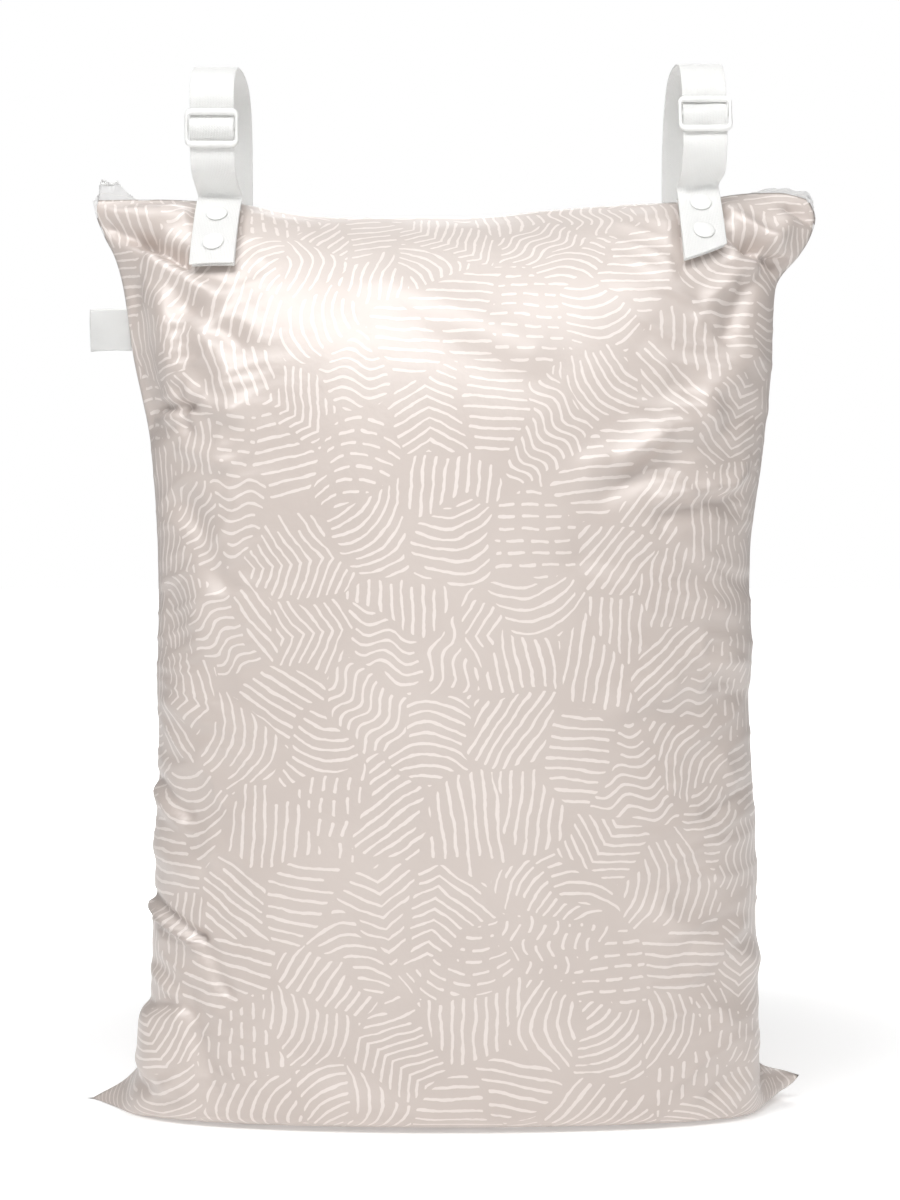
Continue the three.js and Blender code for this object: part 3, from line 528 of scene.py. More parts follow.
def stroke_distance(graph, place):
    """How far a place on the cloth lies from the middle of the nearest printed stroke, in
    millimetres. The cloth is parted in patches, each hatched its own way and direction:
    straight, bowed, waved, angled or dashed."""
    outline = warped(graph, place, 26.0, 26.0, 1.5)
    drawn = warped(graph, warped(graph, place, 22.0, 5.0), 4.0, 1.0)
    patch = patches(graph, outline, "F1")
    border = patches(graph, outline, "DISTANCE_TO_EDGE")
    edge = graph.math("MULTIPLY", border.outputs["Distance"], PATCH)
    turn, kind, extra = graph.split(patch.outputs["Color"])
    middle = graph.vector("SCALE", patch.outputs["Position"], PATCH)
    local = graph.vector("SUBTRACT", drawn, middle)
    quarters = graph.math("MULTIPLY", turn, 4.0)
    diagonal = graph.math("MULTIPLY", graph.math("LESS_THAN", extra, 0.25), math.pi / 4)
    jitter = graph.math("SUBTRACT", graph.math("FRACT", quarters), 0.5)
    direction = graph.total(graph.math("MULTIPLY", graph.math("FLOOR", quarters), math.pi / 2),
                            diagonal, graph.math("MULTIPLY", jitter, 0.5))
    turned = graph.add("VectorRotate", "Vector", {"rotation_type": "Z_AXIS"}, Vector=local,
                       Angle=direction)
    along, over, _ = graph.split(turned)
    bowed = graph.math("LESS_THAN", graph.math("ABSOLUTE", graph.math("SUBTRACT", kind, 0.5)), 0.17)
    waved = graph.math("GREATER_THAN", kind, 0.86)
    angled = graph.math("LESS_THAN", kind, 0.1)
    bow = graph.math("MULTIPLY", graph.math("POWER", graph.math("ABSOLUTE", along), 2.0), 1 / 55.0)
    wave = graph.math("MULTIPLY", graph.math("SINE", graph.math("MULTIPLY", along, math.tau / 24)), 2.2)
    corner = graph.math("MULTIPLY", graph.math("ABSOLUTE", along), 0.6)
    height = graph.total(over, graph.math("MULTIPLY", bowed, bow),
                         graph.math("MULTIPLY", waved, wave), graph.math("MULTIPLY", angled, corner))
    pitch = graph.ramp(extra, 0.0, 1.0, STROKE_PITCH * 0.9, STROKE_PITCH * 1.15, smooth=False)
    strokes = graph.math("DIVIDE", height, pitch)
    from_middle = graph.math("ABSOLUTE", graph.math("SUBTRACT", graph.math("FRACT", strokes), 0.5))
    off = graph.math("MULTIPLY", from_middle, pitch)
    lots = graph.tree.nodes.new("ShaderNodeTexWhiteNoise")
    lots.noise_dimensions = "2D"
    graph.feed(lots.inputs["Vector"],
               graph.add("CombineXYZ", 0, None, X=graph.math("FLOOR", strokes), Y=turn))
    lot, lot_two, _ = graph.split(lots.outputs["Color"])
    margin = graph.ramp(lot, 0.0, 1.0, 1.1, 3.4, smooth=False)
    past_edge = graph.math("SUBTRACT", margin, edge)
    reach = graph.ramp(lot_two, 0.0, 1.0, 18.0, 40.0, smooth=False)
    past_reach = graph.math("SUBTRACT", graph.math("ABSOLUTE", along), reach)
    dash = 13.0
    dashed = graph.math("GREATER_THAN", extra, 0.9)
    dashes = graph.math("ADD", graph.math("DIVIDE", along, dash), lot)
    in_dash = graph.math("ABSOLUTE", graph.math("SUBTRACT", graph.math("FRACT", dashes), 0.5))
    past_dash = graph.math("SUBTRACT", graph.math("MULTIPLY", in_dash, dash), dash * 0.3)
    past = graph.math("MAXIMUM", past_edge, past_reach)
    past = graph.math("MAXIMUM", past, graph.math("MULTIPLY", dashed, past_dash))
    past = graph.math("MAXIMUM", past, 0.0)
    return graph.math("SQRT", graph.total(graph.math("POWER", off, 2.0), graph.math("POWER", past, 2.0)))


def printed_cloth():
    """Coated satin cloth, warm grey-pink, with pale hand-drawn strokes."""
    graph = Graph("printed_cloth")
    place = graph.cut()
    distance = stroke_distance(graph, place)
    uneven = graph.noise(place, 9.0, 1.0)
    half_stroke = graph.ramp(uneven, 0.3, 0.7, 0.62, 1.0, smooth=False)
    over = graph.math("SUBTRACT", distance, half_stroke)
    ink = graph.ramp(over, 0.16, -0.16)
    ground = (0.592, 0.52, 0.479, 1)
    shade = (0.568, 0.496, 0.456, 1)
    stroke = (0.765, 0.695, 0.655, 1)
    mottle = graph.ramp(graph.noise(place, 60.0, 3.0), 0.35, 0.65)
    colour = graph.mix(ink, graph.mix(mottle, ground, shade), stroke)
    graph.feed(graph.shader.inputs["Base Color"], colour)
    graph.feed(graph.shader.inputs["Roughness"], graph.ramp(ink, 0, 1, 0.31, 0.38, smooth=False))
    graph.shader.inputs["Specular IOR Level"].default_value = 0.75
    graph.shader.inputs["Sheen Weight"].default_value = 0.06
    graph.shader.inputs["Sheen Roughness"].default_value = 0.5
    across, up, _ = graph.split(place)
    threads = graph.math("ADD", graph.math("SINE", graph.math("MULTIPLY", across, math.tau / 0.42)),
                         graph.math("SINE", graph.math("MULTIPLY", up, math.tau / 0.5)))
    crumple = graph.math("MULTIPLY", graph.noise(place, 13.0, 3.0), 40.0)
    fine = graph.math("MULTIPLY", graph.noise(place, 3.2, 2.0), 5.0)
    graph.bump(graph.total(threads, crumple, fine), 0.012 * MM, 0.8)
    return graph.material


def webbing(name, colour, rib, pick, depth, roughness=0.75):
    """Woven tape: ribs along it, each crossed by picks that alternate from rib to rib."""
    graph = Graph(name)
    across, up, _ = graph.split(graph.cut())
    ribs = graph.math("DIVIDE", across, rib)
    offset = graph.math("MULTIPLY", graph.math("FLOOR", ribs), 0.5)
    round_rib = graph.math("ABSOLUTE", graph.math("SINE", graph.math("MULTIPLY", ribs, math.pi)))
    picks = graph.math("SINE", graph.math("MULTIPLY", graph.math(
        "ADD", graph.math("DIVIDE", up, pick), offset), math.tau))
    weave = graph.math("ADD", round_rib, graph.math("MULTIPLY", picks, 0.45))
    fuzz = graph.math("MULTIPLY", graph.noise(graph.cut(), 0.5, 2.0), 0.5)
    height = graph.math("ADD", weave, fuzz)
    # The weave's low places are painted darker than its raised ribs and picks: painted shade in its hollows.
    hollow_shade = tuple(c * 0.86 for c in colour[:3]) + (1,)
    graph.feed(graph.shader.inputs["Base Color"],
               graph.mix(graph.ramp(height, 0.1, 0.9), hollow_shade, colour))
    graph.shader.inputs["Roughness"].default_value = roughness
    graph.shader.inputs["Sheen Weight"].default_value = 0.15
    graph.shader.inputs["Sheen Roughness"].default_value = 0.4
    graph.shader.inputs["Subsurface Weight"].default_value = 0.4
    graph.shader.inputs["Subsurface Radius"].default_value = (1, 1, 1)
    graph.shader.inputs["Subsurface Scale"].default_value = 2.5 * MM
    graph.bump(height, depth * MM, 0.9)
    return graph.material


def moulded_plastic(name, colour, roughness):
    graph = Graph(name)
    place = graph.body()
    cloud = graph.ramp(graph.noise(place, 6.0, 2.0), 0.3, 0.7)
    graph.feed(graph.shader.inputs["Base Color"],
               graph.mix(cloud, colour, tuple(c * 1.035 for c in colour[:3]) + (1,)))
    graph.feed(graph.shader.inputs["Roughness"],
               graph.ramp(graph.noise(place, 1.2, 2.0), 0.3, 0.7, roughness, roughness + 0.1))
    graph.shader.inputs["Coat Weight"].default_value = 0.1
    graph.bump(graph.noise(place, 0.8, 2.0), 0.02 * MM, 0.4)
    return graph.material


def sewing_thread():
    graph = Graph("sewing_thread")
    place = graph.body()
    twist_relief_and_shade = graph.noise(place, 0.35, 2.0)
    # One noise gives the thread its bump and its colour: lighter on the raised places and darker in the hollows,
    # painted shade.
    graph.feed(graph.shader.inputs["Base Color"],
               graph.mix(twist_relief_and_shade, (0.74, 0.73, 0.71, 1), (0.88, 0.87, 0.85, 1)))
    graph.shader.inputs["Roughness"].default_value = 0.6
    graph.bump(twist_relief_and_shade, 0.05 * MM, 0.6)
    return graph.material


# The cloth panels


def crease_height(creases, point):
    """The height of the named folds at a point, each fading out past its two ends."""
    x = (point.x - SHIFT.x) / MM
    z = point.z / MM
    height = 0.0
    for x0, z0, x1, z1, width, rise, roll in creases:
        length = math.hypot(x1 - x0, z1 - z0)
        dx = (x1 - x0) / length
        dz = (z1 - z0) / length
        along = (x - x0) * dx + (z - z0) * dz
        over = ((z - z0) * dx - (x - x0) * dz) / width
        if abs(over) > 3.5 or along < -2 * width or along > length + 2 * width:
            continue
        past = max(0.0, -along, along - length) / width
        if dx < 0:
            over = -over
        shape = math.exp(-over * over) * (1 - roll + 2.2 * roll * over)
        height += rise * FOLD_HEIGHT * shape * math.exp(-past * past)
    return height


def wrinkle_height(side, point):
    """Small wrinkles by the side seams, and the slow waves of the whole panel."""
    x = point.x - SHIFT.x
    share = abs(x) / HALF_WIDTH
    lot = 3.7 if side == FRONT else 8.1
    lean = 0.35 * abs(x) * (1 if point.z > BAG_HEIGHT / 2 else -1)
    crossing = noise.noise(Vector((x / WRINKLE_LENGTH, (point.z + lean) / WRINKLE_SPACING, lot)))
    sharp = (1 - min(1.0, abs(crossing) * 2.4)) ** 2 - 0.3
    near_seam = smooth_step((share - 0.36) / 0.3) * (1 - 0.6 * smooth_step((share - 0.72) / 0.1))
    wave = noise.noise(Vector((x / WAVE_LENGTH, point.z / WAVE_LENGTH, lot + 5)))
    return WRINKLE_HEIGHT * near_seam * sharp + WAVE_HEIGHT * wave * (0.4 + 0.6 * near_seam)


def even_columns(side, v_of, columns, samples=120):
    """Columns u that lie evenly along a row of the panel. v_of gives the row's place at u."""
    us = [2 * k / samples - 1 for k in range(samples + 1)]
    points = [smooth_point(side, u, v_of(u)) for u in us]
    lengths = [0.0]
    for before, after in zip(points, points[1:]):
        lengths.append(lengths[-1] + (after - before).length)
    found = []
    for j in range(columns + 1):
        goal = lengths[-1] * j / columns
        k = min(samples - 1, max(0, bisect_right(lengths, goal) - 1))
        part = (goal - lengths[k]) / (lengths[k + 1] - lengths[k])
        found.append(us[k] + part * (us[k + 1] - us[k]))
    return found


def under_strap(x, v):
    """How much of the front panel here is covered by a snap tab, from 0 to 1."""
    if v < 0.8:
        return 0.0
    cover = 0.0
    for strap in STRAPS.values():
        off = abs(x - SHIFT.x - strap["front"] * HALF_WIDTH)
        cover = max(cover, 1 - smooth_step((off - 13 * MM) / (10 * MM)))
    return cover * smooth_step((v - 0.86) / 0.04)


def panel(name, side, columns, rows, top):
    """A cloth panel with its columns evenly apart, up to the row top(u) under the ridge."""
    table = []
    for i in range(rows + 1):
        def v_of(u, i=i):
            return i / rows * top(u)
        us = even_columns(side, v_of, columns)
        table.append([(u, v_of(u)) for u in us])

    def place(across, up):
        j = round(across * columns)
        u, v = table[round(up * rows)][j if side == FRONT else columns - j]
        return smooth_point(side, u, v)

    bm = sheet_grid(columns, rows, place, (CUT_WIDTH, CUT_LENGTH))
    bm.verts.layers.float.new("free")
    piece = new_piece(name, bm)
    layer = piece.data.attributes["free"]
    for k, vert in enumerate(piece.data.vertices):
        row, column = divmod(k, columns + 1)
        u, v = table[row][column if side == FRONT else columns - column]
        loose = (
            smooth_step((1 - abs(u)) / 0.10)
            * smooth_step((1 - row / rows) / 0.05)
            * smooth_step((v - BASE_END) / 0.06)
        )
        if side == FRONT:
            loose *= 1 - under_strap(vert.co.x, v)
        layer.data[k].value = loose
    return piece


def press_out(piece, frames, pressure, cap):
    """Lets the stuffed cloth find its own puckers. Its rest shape is the flat cut, and its
    edges are held in the seams, where there is more cloth than seam."""
    free = [item.value for item in piece.data.attributes["free"].data]
    start = [vert.co.copy() for vert in piece.data.vertices]
    held = piece.vertex_groups.new(name="held")
    columns_uv = {}
    layer = piece.data.uv_layers["cut"].data
    for polygon in piece.data.polygons:
        for vert, loop in zip(polygon.vertices, polygon.loop_indices):
            columns_uv[vert] = layer[loop].uv.copy()
    for k, value in enumerate(free):
        held.add([k], 1 - 0.995 * smooth_step(value * 1.6), "REPLACE")
    piece.shape_key_add(name="stuffed")
    flat = piece.shape_key_add(name="flat")
    for k, place in columns_uv.items():
        flat.data[k].co = (place.x, 0, place.y)
    cloth = piece.modifiers.new("cloth", "CLOTH")
    settings = cloth.settings
    settings.quality = 6
    settings.mass = 0.2
    settings.tension_stiffness = 20
    settings.compression_stiffness = 20
    settings.shear_stiffness = 8
    settings.bending_stiffness = 0.35
    settings.tension_damping = 8
    settings.compression_damping = 8
    settings.air_damping = 3
    settings.use_pressure = True
    settings.uniform_pressure_force = pressure
    settings.vertex_group_mass = "held"
    settings.pin_stiffness = 1.0
    settings.effector_weights.gravity = 0
    settings.rest_shape_key = flat
    cloth.collision_settings.use_collision = False
    cloth.point_cache.frame_start = 1
    cloth.point_cache.frame_end = frames
    scene = bpy.context.scene
    for number in range(1, frames + 1):
        scene.frame_set(number)
    view = bpy.context.evaluated_depsgraph_get()
    settled = piece.evaluated_get(view).to_mesh()
    ends = [vert.co.copy() for vert in settled.vertices]
    piece.evaluated_get(view).to_mesh_clear()
    piece.modifiers.clear()
    piece.shape_key_clear()
    scene.frame_set(1)
    for k, vert in enumerate(piece.data.vertices):
        move = ends[k] - start[k]
        if move.length > 1e-9:
            move *= cap * math.tanh(move.length / cap) / move.length
        vert.co = start[k] + move * smooth_step(free[k] * 1.6)


def finish_panel(piece, side, creases):
    """Adds the named folds to a settled panel, gives it its wall and keeps it on its side of
    the seams and over the floor."""
    finer = piece.modifiers.new("finer", "SUBSURF")
    finer.levels = 1
    finer.render_levels = 1
    finer.boundary_smooth = "PRESERVE_CORNERS"
    settle(piece)
    mesh = piece.data
    free = [item.value for item in mesh.attributes["free"].data]
    normals = [vert.normal.copy() for vert in mesh.vertices]
    for k, vert in enumerate(mesh.vertices):
        height = crease_height(creases, vert.co) + wrinkle_height(side, vert.co)
        vert.co += normals[k] * (min(1.0, free[k] * 2) * height)
    thicken(piece, CLOTH, -1)
    settle(piece)
    for vert in piece.data.vertices:
        out = smooth_step((-vert.co.x / HALF_WIDTH - CORNER_PULL_FROM) / (1 - CORNER_PULL_FROM))
        low = smooth_step(1 - vert.co.z / CORNER_PULL_TOP)
        vert.co += CORNER_PULL * (out * low)
        if side == FRONT:
            vert.co.y = min(vert.co.y, SHIFT.y)
        else:
            vert.co.y = max(vert.co.y, SHIFT.y)
        vert.co.z = max(vert.co.z, 0.0003)


def bag_panels(cloth):
    front = panel("front_cloth", FRONT, 88, 128, lambda u: 1.0)
    back = panel("back_cloth", BACK, 66, 92, lambda u: zip_place(round(u, 3), ZIP_WIDTH))
    press_out(front, 26, 3.0, 9 * MM)
    press_out(back, 26, 3.0, 9 * MM)
    finish_panel(front, FRONT, FRONT_CREASES)
    finish_panel(back, BACK, BACK_CREASES)
    for piece, node in [(front, "bag_front"), (back, "bag_back")]:
        dress(piece, cloth, "cloth", node)


# The zip


@lru_cache(maxsize=None)
def zip_place(u, distance):
    return down_slope(lambda v: smooth_point(BACK, u, v), distance)


# Where the zip's ends bunch up over the corners: the rise in metres, and the shares of the
# half width where a bunch starts and where it is full
BUNCHES = {-1: (0.0222, 0.787, 0.9), 1: (0.0115, 0.7, 0.8)}
BUNCH_END = 0.035
CRUMPLE = 2.6 * MM


def bunch_share(u):
    """How far the zip is up in its bunch at this column, from 0 to 1."""
    _, start, full = BUNCHES[-1 if u < 0 else 1]
    climb = min(1.0, max(0.0, (abs(u) - start) / (full - start)))
    return math.sqrt(climb) * smooth_step((1 - abs(u)) / BUNCH_END)


def zip_point(u, distance, height=0.0):
    """A point of the zip, which bunches up in both corners. height is out of its surface."""
    share = bunch_share(u)
    rise = BUNCHES[-1 if u < 0 else 1][0] * share * math.sin(math.pi * distance / ZIP_WIDTH)
    point = smooth_point(BACK, u, zip_place(round(u, 5), distance))
    crumple = noise.noise_vector(point * 170) * (CRUMPLE * share * min(1, distance / (4 * MM)))
    out = smooth_normal(BACK, u, zip_place(round(u, 5), distance))
    return point + Vector((0, 0, rise)) + crumple + out * height


def zip_tape(name, start, material):
    def place(across, up):
        return zip_point(1 - 2 * across, start + TAPE_WIDTH * (1 - up))

    tape = new_piece(f"{name}_tape", sheet_grid(150, 6, place, (CUT_WIDTH, TAPE_WIDTH)))
    thicken(tape, 0.9 * MM, -1, 0.25 * MM)
    settle(tape)
    dress(tape, material, "zip_tape", f"zip_tape_{name}")


def rod_frame(middle, along, out):
    """A frame at a point, with x along, and z close to out."""
    x = along.normalized()
    y = out.cross(x).normalized()
    turn = Matrix((x, y, x.cross(y))).transposed().to_4x4()
    return Matrix.Translation(middle) @ turn


def rods(name, frames, length, width, height):
    """Many small rounded rods joined in one mesh: stitches, or the turns of a coil."""
    bm = bmesh.new()
    bmesh.ops.create_uvsphere(bm, u_segments=8, v_segments=5, radius=1)
    bmesh.ops.scale(bm, vec=(length / 2, width / 2, height / 2), verts=bm.verts)
    rod = bpy.data.meshes.new("rod")
    bm.to_mesh(rod)
    bm.clear()
    for place in frames:
        turned_rod = rod.copy()
        turned_rod.transform(place)
        bm.from_mesh(turned_rod)
        bpy.data.meshes.remove(turned_rod)
    bpy.data.meshes.remove(rod)
    return new_piece(name, bm)


def zip_coil(material):
    pitch = 1.5 * MM
    count = int(0.41 / pitch)
    frames = []
    for k in range(count):
        u = -0.985 + 1.97 * (k + 0.5) / count
        for row in (-1, 1):
            shifted = u + row * 0.25 * 1.97 / count
            middle = COIL_START + COIL_WIDTH / 2 + row * 0.95 * MM
            point = zip_point(shifted, middle, 0.45 * MM)
            down = zip_point(shifted, middle + MM) - zip_point(shifted, middle - MM)
            side = zip_point(shifted + 0.004, middle) - zip_point(shifted - 0.004, middle)
            out = down.cross(side).normalized()
            frames.append(rod_frame(point, down.normalized() + side.normalized() * 0.22 * row, out))
    coil = rods("zip_coil_turns", frames, 2.7 * MM, 1.15 * MM, 1.5 * MM)
    dress(coil, material, "zip_coil", "zip_coil")


def zip_stitches(material):
    """A row of stitches along the outer edge of each tape."""
    pitch = 3.0 * MM
    count = int(0.41 / pitch)
    for name, distance in [("front_zip_stitches", 2.2 * MM), ("back_zip_stitches", ZIP_WIDTH - 2.4 * MM)]:
        frames = []
        for k in range(count):
            u = -0.975 + 1.95 * (k + 0.5) / count
            side = zip_point(u + 0.004, distance) - zip_point(u - 0.004, distance)
            down = zip_point(u, distance + MM) - zip_point(u, distance - MM)
            frames.append(rod_frame(zip_point(u, distance, 0.12 * MM), side, down.cross(side)))
        dress(rods(name, frames, 2.3 * MM, 0.5 * MM, 0.4 * MM), material, "zip_tape")


# The straps


def through(points, count):
    """Evenly spaced points on a smooth curve through the given ones."""
    ends = [points[0] * 2 - points[1], *points, points[-1] * 2 - points[-2]]
    dense = []
    for k in range(len(points) - 1):
        p0, p1, p2, p3 = ends[k : k + 4]
        t0 = 0.0
        t1 = t0 + max(1e-6, (p1 - p0).length) ** 0.5
        t2 = t1 + max(1e-6, (p2 - p1).length) ** 0.5
        t3 = t2 + max(1e-6, (p3 - p2).length) ** 0.5
        for step in range(20):
            t = t1 + (t2 - t1) * step / 20
            a1 = p0 * ((t1 - t) / (t1 - t0)) + p1 * ((t - t0) / (t1 - t0))
            a2 = p1 * ((t2 - t) / (t2 - t1)) + p2 * ((t - t1) / (t2 - t1))
            a3 = p2 * ((t3 - t) / (t3 - t2)) + p3 * ((t - t2) / (t3 - t2))
            b1 = a1 * ((t2 - t) / (t2 - t0)) + a2 * ((t - t0) / (t2 - t0))
            b2 = a2 * ((t3 - t) / (t3 - t1)) + a3 * ((t - t1) / (t3 - t1))
            dense.append(b1 * ((t2 - t) / (t2 - t1)) + b2 * ((t - t1) / (t2 - t1)))
    dense.append(points[-1])
    return resample(dense, count)


def resample(points, count):
    lengths = [0.0]
    for before, after in zip(points, points[1:]):
        lengths.append(lengths[-1] + (after - before).length)
    found = []
    for j in range(count + 1):
        goal = lengths[-1] * j / count
        k = min(len(points) - 2, max(0, bisect_right(lengths, goal) - 1))
        part = (goal - lengths[k]) / max(1e-12, lengths[k + 1] - lengths[k])
        found.append(points[k].lerp(points[k + 1], part))
    return found


def on_snap_end(strap, w, t, height, settled=0.0):
    """A point of the strap's front end, w to its right and t down from the ridge."""
    turn = math.radians(strap["turn"]) * smooth_step(t / SNAP_END_LENGTH + 0.15)
    x = strap["front"] * HALF_WIDTH + w * math.cos(turn)
    slant = strap["slant"] * smooth_step(t / SNAP_END_LENGTH)
    distance = max(0.2 * MM, t - w * (math.sin(turn) - slant))
    lift = strap["lift"] * BAG_HEIGHT * math.exp(-t / (12 * MM))
    if settled:
        lift *= smooth_step(t / settled)
    return on_slope(FRONT, x, distance, height + lift)


def strap_loop(strap):
    """The loop's middle line, the slider's middle on it, and the way down and behind there."""
    ridge = smooth_point(FRONT, column_at(strap["front"] * HALF_WIDTH, 1), 1).z
    height = strap["top"] * BAG_HEIGHT - STRAP_THICKNESS
    points = []
    for back, up in LOOP_PATH:
        share = min(1.0, (1 - back) / 2)
        x = (strap["back"] + (strap["glide_x"] - strap["back"]) * share) * HALF_WIDTH
        narrow = 1 - strap["peak"] * smooth_step((up - 0.4) / 0.6)
        y = LOOP_CENTRE_Y + back * LOOP_DEPTH / 2 * narrow
        points.append(Vector((x + SHIFT.x, y + SHIFT.y, ridge + up * height)))
    line = through(points, 120)
    goal = ridge + strap["glide"] * BAG_HEIGHT
    front = [k for k, point in enumerate(line) if point.y < LOOP_CENTRE_Y + SHIFT.y]
    middle = min(front, key=lambda k: abs(line[k].z - goal))
    down = line[middle + 3] - line[middle - 3]
    down.x = 0
    down.normalize()
    behind = Vector((0, -down.z, down.y)).normalized()
    return line, middle, down, behind


def glide_pass():
    """Distances along the webbing from the slider's middle, and behind it: the webbing runs
    behind the two outer bars and over the centre bar."""
    behind_bars = GLIDE_THICKNESS / 2 + STRAP_THICKNESS / 2 + 0.4 * MM
    over_centre = 0.9 * MM + STRAP_THICKNESS / 2 + 0.4 * MM
    window = (GLIDE_HEIGHT - 2 * GLIDE_BAR - GLIDE_CENTRE_BAR) / 2
    half = [
        (GLIDE_HEIGHT / 2 + 1 * MM, behind_bars),
        (GLIDE_HEIGHT / 2 - GLIDE_BAR + 0.3 * MM, behind_bars),
        (GLIDE_CENTRE_BAR / 2 + window / 2, 0.35 * MM),
        (GLIDE_CENTRE_BAR / 2 + 0.2 * MM, -over_centre),
    ]
    return [(-along, behind) for along, behind in half] + half[::-1]


def strap_lines(strap):
    """The left edge, middle and right edge of a strap, from its sewn end on the back over the
    loop to its front end."""
    line, middle, down, behind = strap_loop(strap)
    reach = GLIDE_HEIGHT / 2 + 3 * MM
    passing = [line[middle] + down * a + behind * b for a, b in glide_pass()]
    before = [p for p in line[:middle:5] if (p - line[middle]).length > reach]
    after = [p for p in line[middle::5] if (p - line[middle]).length > reach]
    height = 0.3 * MM + STRAP_THICKNESS / 2 + 0.7 * MM
    lines = []
    for side in (-1, 0, 1):
        w = side * STRAP_WIDTH / 2
        sewn = [
            on_slope(BACK, strap["back"] * HALF_WIDTH + w, LEAVES_BACK_AT + SEWN_LENGTH * (1 - k / 4), height)
            for k in range(5)
        ]
        free = [p + Vector((w, 0, 0)) for p in [*before, *passing, *after]]
        start = 5 * MM
        end = strap["reach"] * SNAP_END_LENGTH
        snapped = [
            on_snap_end(strap, w, start + (end - start) * k / 9, STRAP_BASE + STRAP_THICKNESS / 2)
            for k in range(10)
        ]
        lines.append(through([*sewn, *free, *snapped], 240))
    return lines


def strap_band(side, strap, material):
    left, middle, right = strap_lines(strap)
    rows = len(middle) - 1
    length = sum((b - a).length for a, b in zip(middle, middle[1:]))

    def place(across, up):
        k = round(up * rows)
        w = 2 * across - 1
        return middle[k] * (1 - w * w) + left[k] * (w * (w - 1) / 2) + right[k] * (w * (w + 1) / 2)

    bm = sheet_grid(8, rows, place, (STRAP_WIDTH, length))
    bmesh.ops.recalc_face_normals(bm, faces=bm.faces)
    band = new_piece(f"strap_band_{side}", bm)
    thicken(band, STRAP_THICKNESS, 0, 0.35 * MM, 2)
    settle(band)
    dress(band, material, "webbing", f"strap_{side}")


def box_stitches(side, strap, material):
    """The box and cross that sew a strap's end to the back panel."""
    inset = 2.5 * MM
    wide = STRAP_WIDTH / 2 - inset
    top = LEAVES_BACK_AT + inset
    low = LEAVES_BACK_AT + SEWN_LENGTH - inset
    corners = [(-wide, top), (wide, top), (wide, low), (-wide, low)]
    lines = [(corners[k], corners[(k + 1) % 4]) for k in range(4)]
    lines += [(corners[0], corners[2]), (corners[1], corners[3])]
    height = 1.05 * MM + STRAP_THICKNESS
    frames = []
    for (x0, d0), (x1, d1) in lines:
        count = round(math.hypot(x1 - x0, d1 - d0) / (2.8 * MM))
        points = [
            on_slope(BACK, strap["back"] * HALF_WIDTH + x0 + (x1 - x0) * k / count,
                     d0 + (d1 - d0) * k / count, height)
            for k in range(count + 1)
        ]
        for before, after in zip(points, points[1:]):
            frames.append(rod_frame((before + after) / 2, after - before, Vector((0, 1, 0.5))))
    dress(rods(f"strap_stitches_{side}", frames, 2.1 * MM, 0.5 * MM, 0.4 * MM), material, "webbing")


def snap_tab(side, strap, material):
    length = strap["reach"] * (SNAP_END_LENGTH - 1 * MM)
    start = 1.5 * MM

    def place(across, up):
        t = length - (length - start) * up
        w = (2 * across - 1) * (STRAP_WIDTH / 2 - 0.4 * MM)
        return on_snap_end(strap, w, t, TAB_BASE + STRAP_THICKNESS / 2, 10 * MM)

    tab = new_piece(f"tab_band_{side}", sheet_grid(8, 24, place, (STRAP_WIDTH, length)))
    thicken(tab, STRAP_THICKNESS, 0, 0.35 * MM, 2)
    settle(tab)
    dress(tab, material, "webbing", f"snap_tab_{side}")


def turned(name, profile, place):
    """A round piece from its profile of radius and height, at a place."""
    bm = bmesh.new()
    verts = [bm.verts.new((radius, 0, height)) for radius, height in profile]
    edges = [bm.edges.new(pair) for pair in zip(verts, verts[1:])]
    bmesh.ops.spin(bm, geom=verts + edges, cent=(0, 0, 0), axis=(0, 0, 1), dvec=(0, 0, 0),
                   angle=math.tau, steps=48, use_merge=True, use_duplicate=False)
    bmesh.ops.remove_doubles(bm, verts=bm.verts, dist=1e-6)
    bmesh.ops.recalc_face_normals(bm, faces=bm.faces)
    bmesh.ops.transform(bm, matrix=place, verts=bm.verts)
    return new_piece(name, bm)


def snap_frame(strap, from_end):
    t = strap["reach"] * SNAP_END_LENGTH - from_end
    up = on_snap_end(strap, 0, t - 2 * MM, 0) - on_snap_end(strap, 0, t + 2 * MM, 0)
    across = on_snap_end(strap, 2 * MM, t, 0) - on_snap_end(strap, -2 * MM, t, 0)
    return rod_frame(on_snap_end(strap, 0, t, 0), across, across.cross(up))


